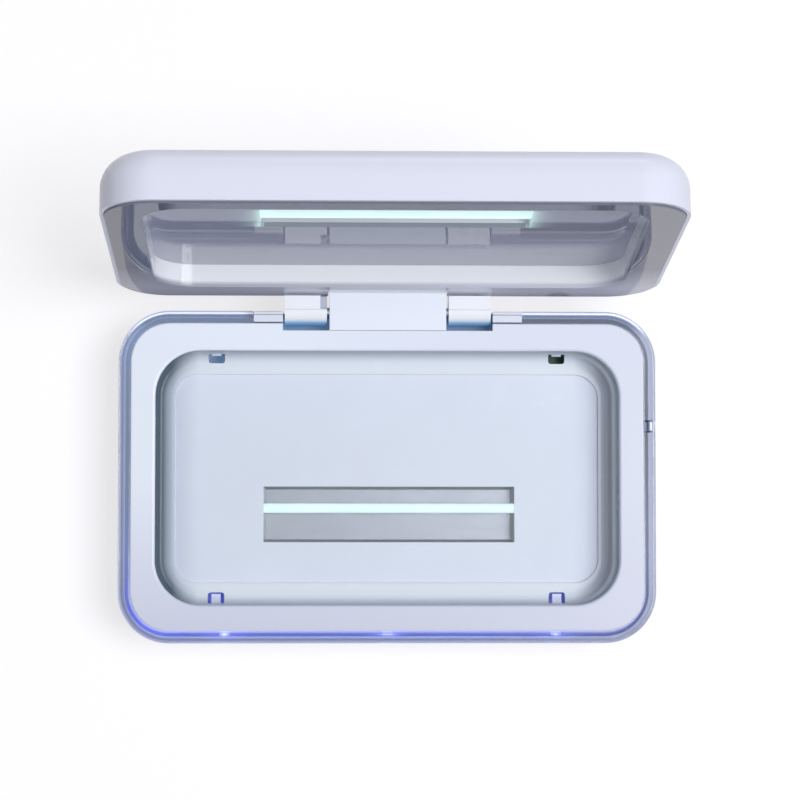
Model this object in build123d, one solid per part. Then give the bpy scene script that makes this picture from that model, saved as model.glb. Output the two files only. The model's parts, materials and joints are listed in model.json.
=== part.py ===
from build123d import *
import math
import os

# A clamshell box that holds a phone between two ultraviolet lamps.
# Millimetres, +X right, +Y to the hinge, +Z up. Everything is laid out about the middle of the
# base's footprint, with the table at Z = 0, and moved to the part's own origin when it is written.

# ---------------------------------------------------------------- shared outline
BODY_W = 178.6  # base and lid, left to right
BODY_D = 110.2  # base and lid, front to back
BODY_R = 17.0  # corners in plan
WALL = 2.2  # white shells
LID_GAP = 0.3  # between the deck and the lid's rim when shut
SLIP = 0.15  # pieces that slide or snap together
SEAT = 0.05  # pieces that rest on each other round a shoulder

# ---------------------------------------------------------------- base
FOOT_H = 1.2  # feet below the shell
BASE_H = 27.0  # shell's underside to the deck
BASE_EDGE_R = 6.0  # round the underside
DECK_Z = FOOT_H + BASE_H
DECK_T = 2.5
DECK_OUTER_ROUND = 0.5
DECK_INNER_ROUND = 0.8

RING_W = 3.85  # clear ring's band
RING_H = 5.2
RING_DROP = 0.3  # below the deck
RING_ROUND = 1.0
RING_TONGUE = 1.5  # shelf that the deck clamps
RING_SEAM = 0.25  # between ring and deck
RING_END_L = 9.8  # blocks between the hinge pocket and the ring
RING_END_GAP = 0.1

MOUTH_SIDE = 12.2  # from the body's left and right sides to the mouth
MOUTH_FRONT = 12.6
MOUTH_REAR = 13.2
MOUTH_R = 15.0

LINER_SETBACK = 0.5  # liner's wall behind the deck's edge
LINER_WALL = 1.5
LINER_FLANGE = 1.5
LINER_DEPTH = 13.0  # deck to the chamber's floor
LINER_FLOOR_ROUND = 2.5
WEB_T = 1.5  # plate that the lamp's window is cut in

QUARTZ_SIDE = 6.5  # from the liner's wall to the quartz
QUARTZ_END = 7.8
QUARTZ_T = 1.2
QUARTZ_R = 8.0

HOOK_INSET = 19.9  # four hooks that carry the liner, from the mouth's ends
HOOK_W = 3.1
HOOK_T = 1.2
HOOK_ARM_T = 1.4
HOOK_WINDOW_W = 5.5
HOOK_WINDOW_ROUND = 0.9
FRONT_WINDOW_REACH = 4.5  # windows, in from the liner's wall
REAR_WINDOW_REACH = 4.0
FRONT_HOOK_REACH = 4.0  # hooks, in from the liner's wall
REAR_HOOK_REACH = 1.5
HOOK_HEADROOM = 0.6

# ---------------------------------------------------------------- lamps
LAMP_R = 1.6
LAMP_END_ROUND = 1.0
LAMP_PAST_WINDOW = 8.5
LAMP_X = 0.8  # lamps sit a little right of the middle
LAMP_Y = -10.25  # and in front of it
LAMP_DROP = 2.45  # window's face to the lamp's axis
WINDOW_W = 84.4
WINDOW_D = 18.7
WINDOW_AHEAD = 2.1  # window's middle in front of its lamp
PAN_DEPTH = 5.2
PAN_T = 0.8
PAN_FLANGE = 3.0
PAN_TAPER = 14.0  # degrees
LAMP_HOLE_GAP = 0.3
HOLDER_L = 8.0
HOLDER_W = 9.0
HOLDER_H = 5.0
HOLDER_GAP = 0.3

# ---------------------------------------------------------------- lid
LID_H = 18.75
LID_EDGE_R = 10.0
LID_OPEN = 99.6  # degrees
RIM_T = 1.6
RIM_EDGE = 1.25  # shell's edge round the panel
RIM_PROUD = 0.7  # panel's face below the shell's edge
RIM_SIDE = 12.7
RIM_REAR = 13.1
RIM_FRONT = 8.0
RECESS_R = 13.5
RECESS_DEPTH = 7.5
RECESS_ROUND = 0.8
RECESS_WALL = 1.5
LIP_H = 3.5
LIP_T = 1.2

# ---------------------------------------------------------------- hinge
AXIS_DROP = 4.9  # hinge axis below the deck, in the plane of the rear outline
PIN_R = 1.5
PIN_CLEAR = 0.05
KNUCKLE_R = 4.6
KNUCKLE_FRONT_CLEAR = 1.97
KNUCKLE_FLOOR_CLEAR = 1.1
ARM_W = 14.0
BLOCK_W = 38.8
BLOCK_SEAM = 0.12
BLOCK_ROUND = 4.5
STOP_GAP = 0.15  # open lid to the block's back
POCKET_WALL = 1.5
ARM_INNER_GAP = 0.9  # arm to block
ARM_OUTER_GAP = 0.6  # arm to the pocket's side
ARM_NECK_GAP = 0.9  # between the neck's shoulder and the panel
ARM_ROOT_H = 3.0  # arm in the shell's rear wall, above the rim
WIRE_SLOT_W = 2.1
WIRE_SLOT_DEPTH = 1.3
TONGUE_T = 2.2
TONGUE_H = 7.7
SWEEP_CLEAR = 0.4
SWEEP_WALL = 1.2

# ---------------------------------------------------------------- fasteners
CASE_SCREW_SIDE = 11.35  # from the body's sides
CASE_SCREW_END = 11.4
CASE_SCREW_R = 1.2
CASE_HEAD_R = 2.5
CASE_HEAD_H = 1.8
CASE_HEAD_DEPTH = 2.3
CASE_HEAD_WALL = 1.5
CASE_BOSS_R = 3.0
CASE_BOSS_SPLIT = 8.0  # below the deck, where the two bosses meet
SCREW_CLEAR = 0.3
PILOT_CLEAR = 0.05
SMALL_SCREW_R = 0.9
SMALL_HEAD_R = 1.8
SMALL_HEAD_H = 1.1
ARM_SCREW_SPREAD = 3.6
ARM_SCREW_UP = 4.9
ARM_SCREW_BITE = 1.5
BLOCK_SCREW_INSET = 7.6
BLOCK_SCREW_BITE = 3.0

# ---------------------------------------------------------------- feet, boards and switch
FOOT_R = 6.0
FOOT_SIDE = 25.3  # from the body's sides
FOOT_END = 18.6
FOOT_RECESS = 1.0
FOOT_CLEAR = 0.1

BOARD_W = 100.0
BOARD_D = 39.0
BOARD_T = 1.6
BOARD_REAR_GAP = 1.4
BOARD_PAST_JACK = 12.0
BOARD_STANDOFF = 2.0
BOARD_POST_R = 2.5
BOARD_POST_INSET = 5.0
INVERTER_SIZE = (22.0, 15.0, 4.6)
INVERTER_AT = (22.0, 14.0)  # from the board's left front corner
CAPACITOR_R = 3.0
CAPACITOR_L = 9.0
CAPACITOR_AT = ((50.0, 12.5), (60.0, 12.5))
CAPACITOR_SINK = 0.9  # into the pocket of glue that holds it

LED_STRIP_SIDE = 23.0  # from the body's sides
LED_STRIP_W = 4.6
LED_STRIP_T = 1.0
LED_SIZE = (3.5, 2.8, 1.2)
LED_LEFT_SIDE = 35.3
LED_RIGHT_SIDE = 33.3
LED_HEADROOM = 0.5
LED_SHELVES = 4
LED_SHELF_INSET = 6.0
LED_SHELF_W = 4.0
LED_SHELF_T = 1.5

JACK_SIDE = 31.0  # from the body's right side
JACK_W = 9.0
JACK_H = 9.0
JACK_COLLAR_R = 4.0
JACK_SOCKET_R = 2.85
JACK_SOCKET_L = 7.0
JACK_PIN_R = 1.0
JACK_PIN_SHORT = 0.5  # pin's tip inside the socket's mouth
JACK_RECESS = 0.2

PLUNGER_SIDE = 1.8  # from the body's right side
PLUNGER_Y = 16.9
PLUNGER_W = 1.0
PLUNGER_L = 3.0
PLUNGER_ROUND = 0.3
PLUNGER_UP = 1.1  # above the deck when free
PLUNGER_TRAVEL = 1.0
PLUNGER_SLOT_W = 2.3  # reaches past the rod on its inner side
PLUNGER_SLOT_L = 4.1
FOOTPLATE_T = 1.5
FOOTPLATE_L = 5.0
PEG_R = 0.9
PEG_H = 1.9
SWITCH_SIZE = (4.4, 12.8, 6.2)
LEAD_R = 0.7
LEAD_BEND_R = 3.0
LEAD_RUN_OUT = 8.0  # straight stretch before a lamp's end
UPPER_LEAD_BEHIND = 21.8  # from the lamp to where its lead crosses the lid

# ---------------------------------------------------------------- places worked out from the sizes
AXIS_Y = BODY_D / 2
AXIS_Z = DECK_Z - AXIS_DROP
MOUTH_W = BODY_W - 2 * MOUTH_SIDE
MOUTH_D = BODY_D - MOUTH_FRONT - MOUTH_REAR
MOUTH_Y = (MOUTH_FRONT - MOUTH_REAR) / 2
RIM_Z = DECK_Z + LID_GAP
RIM_REACH = RIM_Z - AXIS_Z  # hinge axis to the plane of the lid's rim
RIM_INSET = RIM_EDGE + SLIP
RIM_TOP = RIM_Z + RIM_T
LEAN = math.radians(LID_OPEN - 90)
FLOOR_Z = FOOT_H + WALL
DECK_UNDER = DECK_Z - DECK_T
RING_TOP = DECK_Z - RING_DROP
RING_BOTTOM = RING_TOP - RING_H
CHAMBER_Z = DECK_Z - LINER_DEPTH
LINER_W = MOUTH_W + 2 * LINER_SETBACK
LINER_D = MOUTH_D + 2 * LINER_SETBACK
LINER_OUT = LINER_D / 2 + LINER_WALL  # from the mouth's middle
QUARTZ_W = LINER_W - 2 * QUARTZ_SIDE
QUARTZ_D = LINER_D - 2 * QUARTZ_END
HOOK_X = MOUTH_W / 2 - HOOK_INSET
LAMP_LENGTH = WINDOW_W + 2 * LAMP_PAST_WINDOW
WINDOW_Y = LAMP_Y - WINDOW_AHEAD
WEB_TOP = CHAMBER_Z - QUARTZ_T
WEB_BOTTOM = WEB_TOP - WEB_T
POCKET_W = BLOCK_W + 2 * (ARM_INNER_GAP + ARM_W + ARM_OUTER_GAP)
POCKET_Y = AXIS_Y - KNUCKLE_R - KNUCKLE_FRONT_CLEAR
POCKET_Z = AXIS_Z - KNUCKLE_R - KNUCKLE_FLOOR_CLEAR
RING_END_X = POCKET_W / 2 + RING_END_L
SHELL_IN_W = BODY_W - 2 * WALL
SHELL_IN_D = BODY_D - 2 * WALL
SHELL_IN_R = BODY_R - WALL
CASE_SCREW_X = BODY_W / 2 - CASE_SCREW_SIDE
CASE_SCREW_Y = BODY_D / 2 - CASE_SCREW_END
FOOT_X = BODY_W / 2 - FOOT_SIDE
FOOT_Y = BODY_D / 2 - FOOT_END
JACK_X = BODY_W / 2 - JACK_SIDE
PLUNGER_X = BODY_W / 2 - PLUNGER_SIDE
LED_STRIP_END = BODY_W / 2 - LED_STRIP_SIDE
LED_X = (LED_LEFT_SIDE - BODY_W / 2, 0.0, BODY_W / 2 - LED_RIGHT_SIDE)
BOARD_Z = FLOOR_Z + BOARD_STANDOFF
BOARD_X1 = JACK_X + BOARD_PAST_JACK
BOARD_X0 = BOARD_X1 - BOARD_W
BOARD_Y1 = BODY_D / 2 - WALL - BOARD_REAR_GAP
BOARD_Y0 = BOARD_Y1 - BOARD_D
BLOCK_SCREW_X = BLOCK_W / 2 - BLOCK_SCREW_INSET
ARM_X0 = BLOCK_W / 2 + ARM_INNER_GAP
ARM_X1 = ARM_X0 + ARM_W
ARM_Y0 = AXIS_Y - KNUCKLE_R
NECK_Z = RIM_Z - ARM_NECK_GAP
NECK_Y0 = ARM_Y0 - (NECK_Z - AXIS_Z) * math.tan(LEAN)  # so that its front lies level when open
TONGUE_Y1 = AXIS_Y - WALL - SLIP
TONGUE_Y0 = TONGUE_Y1 - TONGUE_T
CEILING_Z = RIM_Z + RECESS_DEPTH
BLOCK_SCREW_Y = SHELL_IN_D / 2 - SMALL_HEAD_R - SLIP
STOP_Y = AXIS_Y + (RIM_REACH - STOP_GAP + AXIS_DROP * math.sin(LEAN)) / math.cos(LEAN)
SWEEP_R = math.hypot(STOP_Y - AXIS_Y, AXIS_DROP) + SWEEP_CLEAR

# The open lid reaches this far back, and the origin is the middle of the whole footprint.
LID_BACK = (
    AXIS_Y
    + (BODY_D - LID_EDGE_R) * math.sin(LEAN)
    + (RIM_REACH + LID_H - LID_EDGE_R) * math.cos(LEAN)
    + LID_EDGE_R
)
ORIGIN_Y = (LID_BACK - BODY_D / 2) / 2


# ---------------------------------------------------------------- helpers
def slab(width, depth, radius, z0, z1, x=0.0, y=0.0):
    """Upright block with rounded corners in plan."""
    return extrude(Plane.XY.offset(z0) * Pos(x, y) * RectangleRounded(width, depth, radius), z1 - z0)


def block(x0, x1, y0, y1, z0, z1):
    """Square block between two corners."""
    return Pos((x0 + x1) / 2, (y0 + y1) / 2, (z0 + z1) / 2) * Box(x1 - x0, y1 - y0, z1 - z0)


def post(radius, z0, z1, x, y):
    """Upright round bar."""
    return Pos(x, y, (z0 + z1) / 2) * Cylinder(radius, z1 - z0)


def bar_x(radius, x0, x1, y, z):
    """Round bar along X."""
    return Pos((x0 + x1) / 2, y, z) * Rot(0, 90, 0) * Cylinder(radius, x1 - x0)


def bar_y(radius, y0, y1, x, z):
    """Round bar along Y."""
    return Pos(x, (y0 + y1) / 2, z) * Rot(90, 0, 0) * Cylinder(radius, y1 - y0)


def side_prism(face, x0, x1):
    """Extrudes a face drawn in the YZ plane from x0 to x1."""
    return extrude(Plane.YZ.offset(x0) * face, x1 - x0)


def edges_at(solid, z):
    """The flat edges of a solid at one height."""
    return solid.edges().filter_by_position(Axis.Z, z - 1e-3, z + 1e-3)


def group(solids):
    """Separate solids that are written as one node."""
    return Compound(list(solids))


def four_corners(x, y):
    return [(sx * x, sy * y) for sx in (-1, 1) for sy in (-1, 1)]


# ---------------------------------------------------------------- base: shell, ring and deck
def base_shell():
    """White tub with the hinge pocket, screw bosses, board posts and the lamps' ledges."""
    tub = slab(BODY_W, BODY_D, BODY_R, FOOT_H, RING_BOTTOM)
    tub = fillet(edges_at(tub, FOOT_H), BASE_EDGE_R)
    cavity = slab(SHELL_IN_W, SHELL_IN_D, SHELL_IN_R, FLOOR_Z, RING_BOTTOM + 1)
    cavity = fillet(edges_at(cavity, FLOOR_Z), BASE_EDGE_R - WALL)
    tub -= cavity

    half = POCKET_W / 2
    pocket_out = block(
        -half - POCKET_WALL, half + POCKET_WALL, POCKET_Y - POCKET_WALL, AXIS_Y - WALL / 2,
        POCKET_Z - POCKET_WALL, DECK_UNDER,
    )
    tub += pocket_out
    tub -= block(-half, half, POCKET_Y, AXIS_Y + 1, POCKET_Z, DECK_Z)
    # The pocket's side walls stand behind the clear ring, so they stop where its band begins.
    band = BODY_D / 2 - RING_W - RING_TONGUE - SLIP
    for side in (-1, 1):
        x0, x1 = sorted((side * (half - 1), side * (half + POCKET_WALL + 1)))
        tub -= block(x0, x1, band, AXIS_Y + 1, RING_BOTTOM, DECK_Z)

    for x, y in four_corners(CASE_SCREW_X, CASE_SCREW_Y):
        head_web = FOOT_H + CASE_HEAD_DEPTH + CASE_HEAD_WALL
        tub += post(CASE_HEAD_R + SCREW_CLEAR + CASE_HEAD_WALL, FLOOR_Z - WALL / 2, head_web, x, y)
        tub += post(CASE_BOSS_R, FLOOR_Z - WALL / 2, DECK_Z - CASE_BOSS_SPLIT, x, y)
        tub -= post(CASE_HEAD_R + SCREW_CLEAR, FOOT_H - 1, FOOT_H + CASE_HEAD_DEPTH, x, y)
        tub -= post(CASE_SCREW_R + SCREW_CLEAR, FOOT_H, DECK_Z, x, y)
    for x, y in four_corners(FOOT_X, FOOT_Y):
        tub -= post(FOOT_R + FOOT_CLEAR, FOOT_H - 1, FOOT_H + FOOT_RECESS, x, y)
    for x, y in board_posts():
        tub += post(BOARD_POST_R, FLOOR_Z - WALL / 2, BOARD_Z, x, y)
    for x in led_shelves():
        tub += block(
            x - LED_SHELF_W / 2, x + LED_SHELF_W / 2, -BODY_D / 2 + WALL / 2, led_strip_y()[1],
            led_strip_z() - LED_SHELF_T, led_strip_z(),
        )
    for x in (-BLOCK_SCREW_X, BLOCK_SCREW_X):
        tub -= post(SMALL_SCREW_R + PILOT_CLEAR, POCKET_Z - POCKET_WALL - 1, POCKET_Z + 1, x, BLOCK_SCREW_Y)

    tub -= bar_y(JACK_COLLAR_R + SLIP, BODY_D / 2 - WALL - 1, BODY_D / 2 + 1, JACK_X, jack_z())
    tub -= plunger_slot(POCKET_Z, RING_BOTTOM + 1)
    switch = switch_box()
    tub += block(
        switch[0], SHELL_IN_W / 2 + WALL / 2, switch[2], switch[3], switch[4] - LED_SHELF_T, switch[4],
    )
    return tub


def deck_blank(grow, z0, z1):
    """Outline of the deck, grown by an even margin."""
    inset = RING_W + RING_SEAM - grow
    return slab(BODY_W - 2 * inset, BODY_D - 2 * inset, BODY_R - inset, z0, z1)


def mouth_slab(grow, z0, z1):
    """The mouth in plan, grown by an even margin."""
    return slab(MOUTH_W + 2 * grow, MOUTH_D + 2 * grow, MOUTH_R + grow, z0, z1, y=MOUTH_Y)


def whole_ring():
    """The band round the deck, before it is parted at the hinge."""
    band = slab(BODY_W, BODY_D, BODY_R, RING_BOTTOM, RING_TOP)
    band = fillet(edges_at(band, RING_TOP), RING_ROUND)
    band -= deck_blank(RING_SEAM, DECK_UNDER, RING_TOP + 1)
    return band - deck_blank(RING_SEAM - RING_TONGUE, RING_BOTTOM - 1, DECK_UNDER)


def plunger_slot(z0, z1):
    x1 = PLUNGER_X + PLUNGER_W / 2 + SLIP
    return block(
        x1 - PLUNGER_SLOT_W, x1, PLUNGER_Y - PLUNGER_SLOT_L / 2, PLUNGER_Y + PLUNGER_SLOT_L / 2, z0, z1
    )


def light_ring():
    """Clear light guide: a band all round except behind the hinge."""
    ring = whole_ring() - block(-RING_END_X, RING_END_X, BODY_D / 4, BODY_D, 0, DECK_Z + 1)
    return ring - plunger_slot(RING_BOTTOM - 1, DECK_Z)


def ring_end(side):
    """White block that closes the ring beside the hinge."""
    half = POCKET_W / 2
    x0, x1 = sorted((side * half, side * (RING_END_X - RING_END_GAP)))
    return whole_ring() & block(x0, x1, BODY_D / 4, BODY_D, 0, DECK_Z + 1)


def deck_frame():
    """White frame round the mouth, with screw bosses and the hooks that carry the liner."""
    frame = deck_blank(0, DECK_UNDER, DECK_Z)
    frame = fillet(edges_at(frame, DECK_Z), DECK_OUTER_ROUND)
    frame -= mouth_slab(0, DECK_UNDER - 1, DECK_Z + 1)
    inner = [
        e for e in edges_at(frame, DECK_Z)
        if abs(e.center().X) < MOUTH_W / 2 + 0.1 and abs(e.center().Y - MOUTH_Y) < MOUTH_D / 2 + 0.1
    ]
    frame = fillet(inner, DECK_INNER_ROUND)
    frame -= block(-POCKET_W / 2, POCKET_W / 2, POCKET_Y, BODY_D, 0, DECK_Z + 1)
    for x, y in four_corners(CASE_SCREW_X, CASE_SCREW_Y):
        frame += post(CASE_BOSS_R, DECK_Z - CASE_BOSS_SPLIT, DECK_UNDER + DECK_T / 2, x, y)
        frame -= post(CASE_SCREW_R + PILOT_CLEAR, 0, DECK_UNDER, x, y)
    arm_in = LINER_OUT + SLIP
    for x in (-HOOK_X, HOOK_X):
        for side, reach in ((-1, FRONT_HOOK_REACH), (1, REAR_HOOK_REACH)):
            y0, y1 = chamber_span(side, arm_in, arm_in + HOOK_ARM_T)
            frame += block(
                x - HOOK_W / 2, x + HOOK_W / 2, y0, y1, CHAMBER_Z - HOOK_T, DECK_UNDER + DECK_T / 2,
            )
            y0, y1 = chamber_span(side, LINER_D / 2 - reach, arm_in + HOOK_ARM_T)
            frame += block(x - HOOK_W / 2, x + HOOK_W / 2, y0, y1, CHAMBER_Z - HOOK_T, CHAMBER_Z)
    return frame


# ---------------------------------------------------------------- base: chamber
def chamber_span(side, near, far):
    """From near to far in front of (-1) or behind (1) the mouth's middle."""
    return sorted((MOUTH_Y + side * near, MOUTH_Y + side * far))


def chamber_liner():
    """Bright tray that hangs under the deck, with a seat for the quartz and the lamp's window."""
    tray = mouth_slab(LINER_SETBACK + LINER_WALL, WEB_BOTTOM, DECK_UNDER)
    tray += mouth_slab(LINER_SETBACK + LINER_WALL + LINER_FLANGE, DECK_UNDER - LINER_WALL, DECK_UNDER)
    hollow = mouth_slab(LINER_SETBACK, CHAMBER_Z, DECK_Z)
    tray -= fillet(edges_at(hollow, CHAMBER_Z), LINER_FLOOR_ROUND)
    tray -= quartz_slab(SLIP, WEB_TOP, CHAMBER_Z + 1)
    tray -= block(
        LAMP_X - WINDOW_W / 2, LAMP_X + WINDOW_W / 2, WINDOW_Y - WINDOW_D / 2, WINDOW_Y + WINDOW_D / 2,
        WEB_BOTTOM - 1, WEB_TOP + 1,
    )
    tray -= lamp_way(WEB_TOP, -1)
    for x in (-HOOK_X, HOOK_X):
        for side, reach in ((-1, FRONT_WINDOW_REACH), (1, REAR_WINDOW_REACH)):
            edge = MOUTH_Y + side * (LINER_D / 2 - reach)
            y0, y1 = chamber_span(side, LINER_D / 2 - reach, LINER_OUT + 1)
            hole = block(
                x - HOOK_WINDOW_W / 2, x + HOOK_WINDOW_W / 2, y0, y1,
                WEB_BOTTOM - 1, CHAMBER_Z + HOOK_HEADROOM,
            )
            far = [e for e in hole.edges().filter_by(Axis.Z) if abs(e.center().Y - edge) < 0.1]
            tray -= fillet(far, HOOK_WINDOW_ROUND)
            y0, y1 = chamber_span(side, LINER_OUT, LINER_OUT + LINER_FLANGE + 1)
            tray -= block(
                x - HOOK_W / 2 - SLIP, x + HOOK_W / 2 + SLIP, y0, y1, WEB_BOTTOM, DECK_Z,
            )
    return tray


def quartz_slab(grow, z0, z1):
    return slab(QUARTZ_W + 2 * grow, QUARTZ_D + 2 * grow, QUARTZ_R + grow, z0, z1, y=MOUTH_Y)


def quartz_plate():
    return quartz_slab(0, WEB_TOP, CHAMBER_Z)


# ---------------------------------------------------------------- lamps, the same above and below
def lamp_way(face_z, away):
    """Room for the lamp's tube where it runs past the ends of its window."""
    return bar_x(
        LAMP_R + LAMP_HOLE_GAP, LAMP_X - LAMP_LENGTH / 2 - 1, LAMP_X + LAMP_LENGTH / 2 + 1,
        LAMP_Y, face_z + away * LAMP_DROP,
    )


def lamp_pan(face_z, away):
    """Polished pan behind the window: a flange, tapered sides and a floor."""
    back = face_z + away * WEB_T
    plane = Plane(origin=(LAMP_X, WINDOW_Y, back), x_dir=(1, 0, 0), z_dir=(0, 0, away))
    depth = PAN_DEPTH - WEB_T
    pan = extrude(plane * Rectangle(WINDOW_W + 2 * PAN_FLANGE, WINDOW_D + 2 * PAN_FLANGE), PAN_T)
    pan += extrude(
        plane * Rectangle(WINDOW_W + 2 * PAN_T, WINDOW_D + 2 * PAN_T), depth + PAN_T, taper=PAN_TAPER
    )
    pan -= extrude(plane * Rectangle(WINDOW_W, WINDOW_D), depth, taper=PAN_TAPER)
    return pan - lamp_way(face_z, away)


def lamp_tube(face_z, away):
    tube = bar_x(
        LAMP_R, LAMP_X - LAMP_LENGTH / 2, LAMP_X + LAMP_LENGTH / 2, LAMP_Y, face_z + away * LAMP_DROP
    )
    return fillet(tube.edges(), LAMP_END_ROUND)


def lamp_holders(face_z, away):
    """Rubber saddles that clip over the two ends of the tube."""
    seat = face_z + away * WEB_T
    z0, z1 = sorted((seat, seat + away * HOLDER_H))
    near = WINDOW_W / 2 + PAN_FLANGE + HOLDER_GAP
    saddles = []
    for side in (-1, 1):
        x0, x1 = sorted((LAMP_X + side * near, LAMP_X + side * (near + HOLDER_L)))
        saddle = block(x0, x1, LAMP_Y - HOLDER_W / 2, LAMP_Y + HOLDER_W / 2, z0, z1)
        bore = bar_x(
            LAMP_R + PIN_CLEAR, LAMP_X - LAMP_LENGTH / 2 - PIN_CLEAR, LAMP_X + LAMP_LENGTH / 2 + PIN_CLEAR,
            LAMP_Y, face_z + away * LAMP_DROP,
        )
        saddles.append(saddle - bore)
    return group(saddles)


# ---------------------------------------------------------------- base: boards, inlet and switch
def board_posts():
    inset = BOARD_POST_INSET
    xs = (BOARD_X0 + inset, BOARD_X1 - inset)
    ys = (BOARD_Y0 + inset, BOARD_Y1 - inset)
    return [(x, y) for x in xs for y in ys]


def main_board():
    """Circuit board with two capacitors lying on it."""
    board = block(BOARD_X0, BOARD_X1, BOARD_Y0, BOARD_Y1, BOARD_Z, BOARD_Z + BOARD_T)
    z = BOARD_Z + BOARD_T + CAPACITOR_R - CAPACITOR_SINK
    for along, back in CAPACITOR_AT:
        y = BOARD_Y0 + back
        board += bar_y(CAPACITOR_R, y - CAPACITOR_L / 2, y + CAPACITOR_L / 2, BOARD_X0 + along, z)
    return board


def lamp_inverter():
    """Transformer that drives both lamps."""
    length, width, height = INVERTER_SIZE
    x, y = inverter_middle()
    z = BOARD_Z + BOARD_T
    core = block(x - length / 2, x + length / 2, y - width / 2, y + width / 2, z, z + height)
    return fillet(core.edges().filter_by(Axis.Z), 1.0)


def inverter_middle():
    return BOARD_X0 + INVERTER_AT[0], BOARD_Y0 + INVERTER_AT[1]


def led_strip_y():
    front = -BODY_D / 2 + WALL + SLIP
    return front, front + LED_STRIP_W


def led_strip_z():
    return RING_BOTTOM - LED_HEADROOM - LED_SIZE[2] - LED_STRIP_T


def led_shelves():
    """Where the ledges that carry the strip stand, evenly along it."""
    last = LED_STRIP_END - LED_SHELF_INSET
    step = 2 * last / (LED_SHELVES - 1)
    return [step * i - last for i in range(LED_SHELVES)]


def led_strip():
    y0, y1 = led_strip_y()
    z = led_strip_z()
    return block(-LED_STRIP_END, LED_STRIP_END, y0, y1, z, z + LED_STRIP_T)


def status_leds():
    length, width, height = LED_SIZE
    y = led_strip_y()[0] + width / 2 + SLIP
    z = led_strip_z() + LED_STRIP_T
    return group(
        block(x - length / 2, x + length / 2, y - width / 2, y + width / 2, z, z + height) for x in LED_X
    )


def jack_z():
    return BOARD_Z + BOARD_T + JACK_H / 2


def power_inlet():
    """Barrel socket that stands on the board and looks out of the rear wall."""
    y_in = chamber_span(1, 0, LINER_OUT + SLIP + HOOK_ARM_T + SLIP)[1]
    y_out = BODY_D / 2 - JACK_RECESS
    inlet = block(
        JACK_X - JACK_W / 2, JACK_X + JACK_W / 2, y_in, BODY_D / 2 - WALL - SLIP,
        BOARD_Z + BOARD_T, BOARD_Z + BOARD_T + JACK_H,
    )
    inlet += bar_y(JACK_COLLAR_R, y_in, y_out, JACK_X, jack_z())
    inlet -= bar_y(JACK_SOCKET_R, y_out - JACK_SOCKET_L, y_out + 1, JACK_X, jack_z())
    return inlet + bar_y(JACK_PIN_R, y_in, y_out - JACK_PIN_SHORT, JACK_X, jack_z())


def footplate_top():
    return RING_BOTTOM - 2 * SEAT


def switch_plunger():
    """White rod in the ring that the shut lid presses, with a foot and a peg into the switch."""
    x0, x1 = PLUNGER_X - PLUNGER_W / 2, PLUNGER_X + PLUNGER_W / 2
    y0, y1 = PLUNGER_Y - PLUNGER_L / 2, PLUNGER_Y + PLUNGER_L / 2
    rod = block(x0, x1, y0, y1, footplate_top() - FOOTPLATE_T, DECK_Z + PLUNGER_UP)
    rod = fillet(edges_at(rod, DECK_Z + PLUNGER_UP), PLUNGER_ROUND)
    rod += block(x1 - FOOTPLATE_L, x1, y0, y1, footplate_top() - FOOTPLATE_T, footplate_top())
    peg_top = footplate_top() - FOOTPLATE_T / 2
    return rod + post(PEG_R, peg_top - FOOTPLATE_T / 2 - PEG_H, peg_top, peg_x(), PLUNGER_Y)


def peg_x():
    return PLUNGER_X + PLUNGER_W / 2 - FOOTPLATE_L + PEG_R + 2 * SLIP


def switch_box():
    """Corners of the switch's body, under the footplate at the end of its travel."""
    width, length, height = SWITCH_SIZE
    x1 = peg_x() + width / 2
    z1 = footplate_top() - FOOTPLATE_T - PLUNGER_TRAVEL - 2 * SEAT
    return (x1 - width, x1, PLUNGER_Y - length / 2, PLUNGER_Y + length / 2, z1 - height, z1)


def lid_switch():
    x0, x1, y0, y1, z0, z1 = switch_box()
    body = block(x0, x1, y0, y1, z0, z1)
    return body - post(PEG_R + SLIP, z1 - PEG_H - SEAT, z1 + 1, peg_x(), PLUNGER_Y)


# ---------------------------------------------------------------- hinge
def hinge_block():
    """Fixed middle of the hinge; its sloping back is the open lid's stop."""
    slope = math.tan(LEAN)
    foot_y = STOP_Y - (DECK_Z - POCKET_Z) * slope
    outline = make_face(Polyline(
        (POCKET_Y + BLOCK_SEAM, POCKET_Z), (foot_y, POCKET_Z), (STOP_Y, DECK_Z),
        (POCKET_Y + BLOCK_SEAM, DECK_Z), close=True,
    ))
    heel = outline.vertices().sort_by_distance((foot_y, POCKET_Z, 0))[0]
    outline = fillet(heel, BLOCK_ROUND)
    body = side_prism(outline, -BLOCK_W / 2, BLOCK_W / 2)
    body -= bar_x(PIN_R + PIN_CLEAR, -BLOCK_W, BLOCK_W, AXIS_Y, AXIS_Z)
    for x in (-BLOCK_SCREW_X, BLOCK_SCREW_X):
        body -= post(
            SMALL_SCREW_R + PILOT_CLEAR, POCKET_Z - 1, POCKET_Z + BLOCK_SCREW_BITE + SEAT, x, BLOCK_SCREW_Y,
        )
    return body


def block_screws():
    """Screws up through the pocket's floor into the hinge block."""
    screws = []
    for x in (-BLOCK_SCREW_X, BLOCK_SCREW_X):
        under = POCKET_Z - POCKET_WALL
        head = post(SMALL_HEAD_R, under - SMALL_HEAD_H, under, x, BLOCK_SCREW_Y)
        tip = POCKET_Z + BLOCK_SCREW_BITE
        screws.append(head + post(SMALL_SCREW_R, under - SMALL_HEAD_H / 2, tip, x, BLOCK_SCREW_Y))
    return group(screws)


def hinge_pin():
    return bar_x(PIN_R, -ARM_X1, ARM_X1, AXIS_Y, AXIS_Z)


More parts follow.
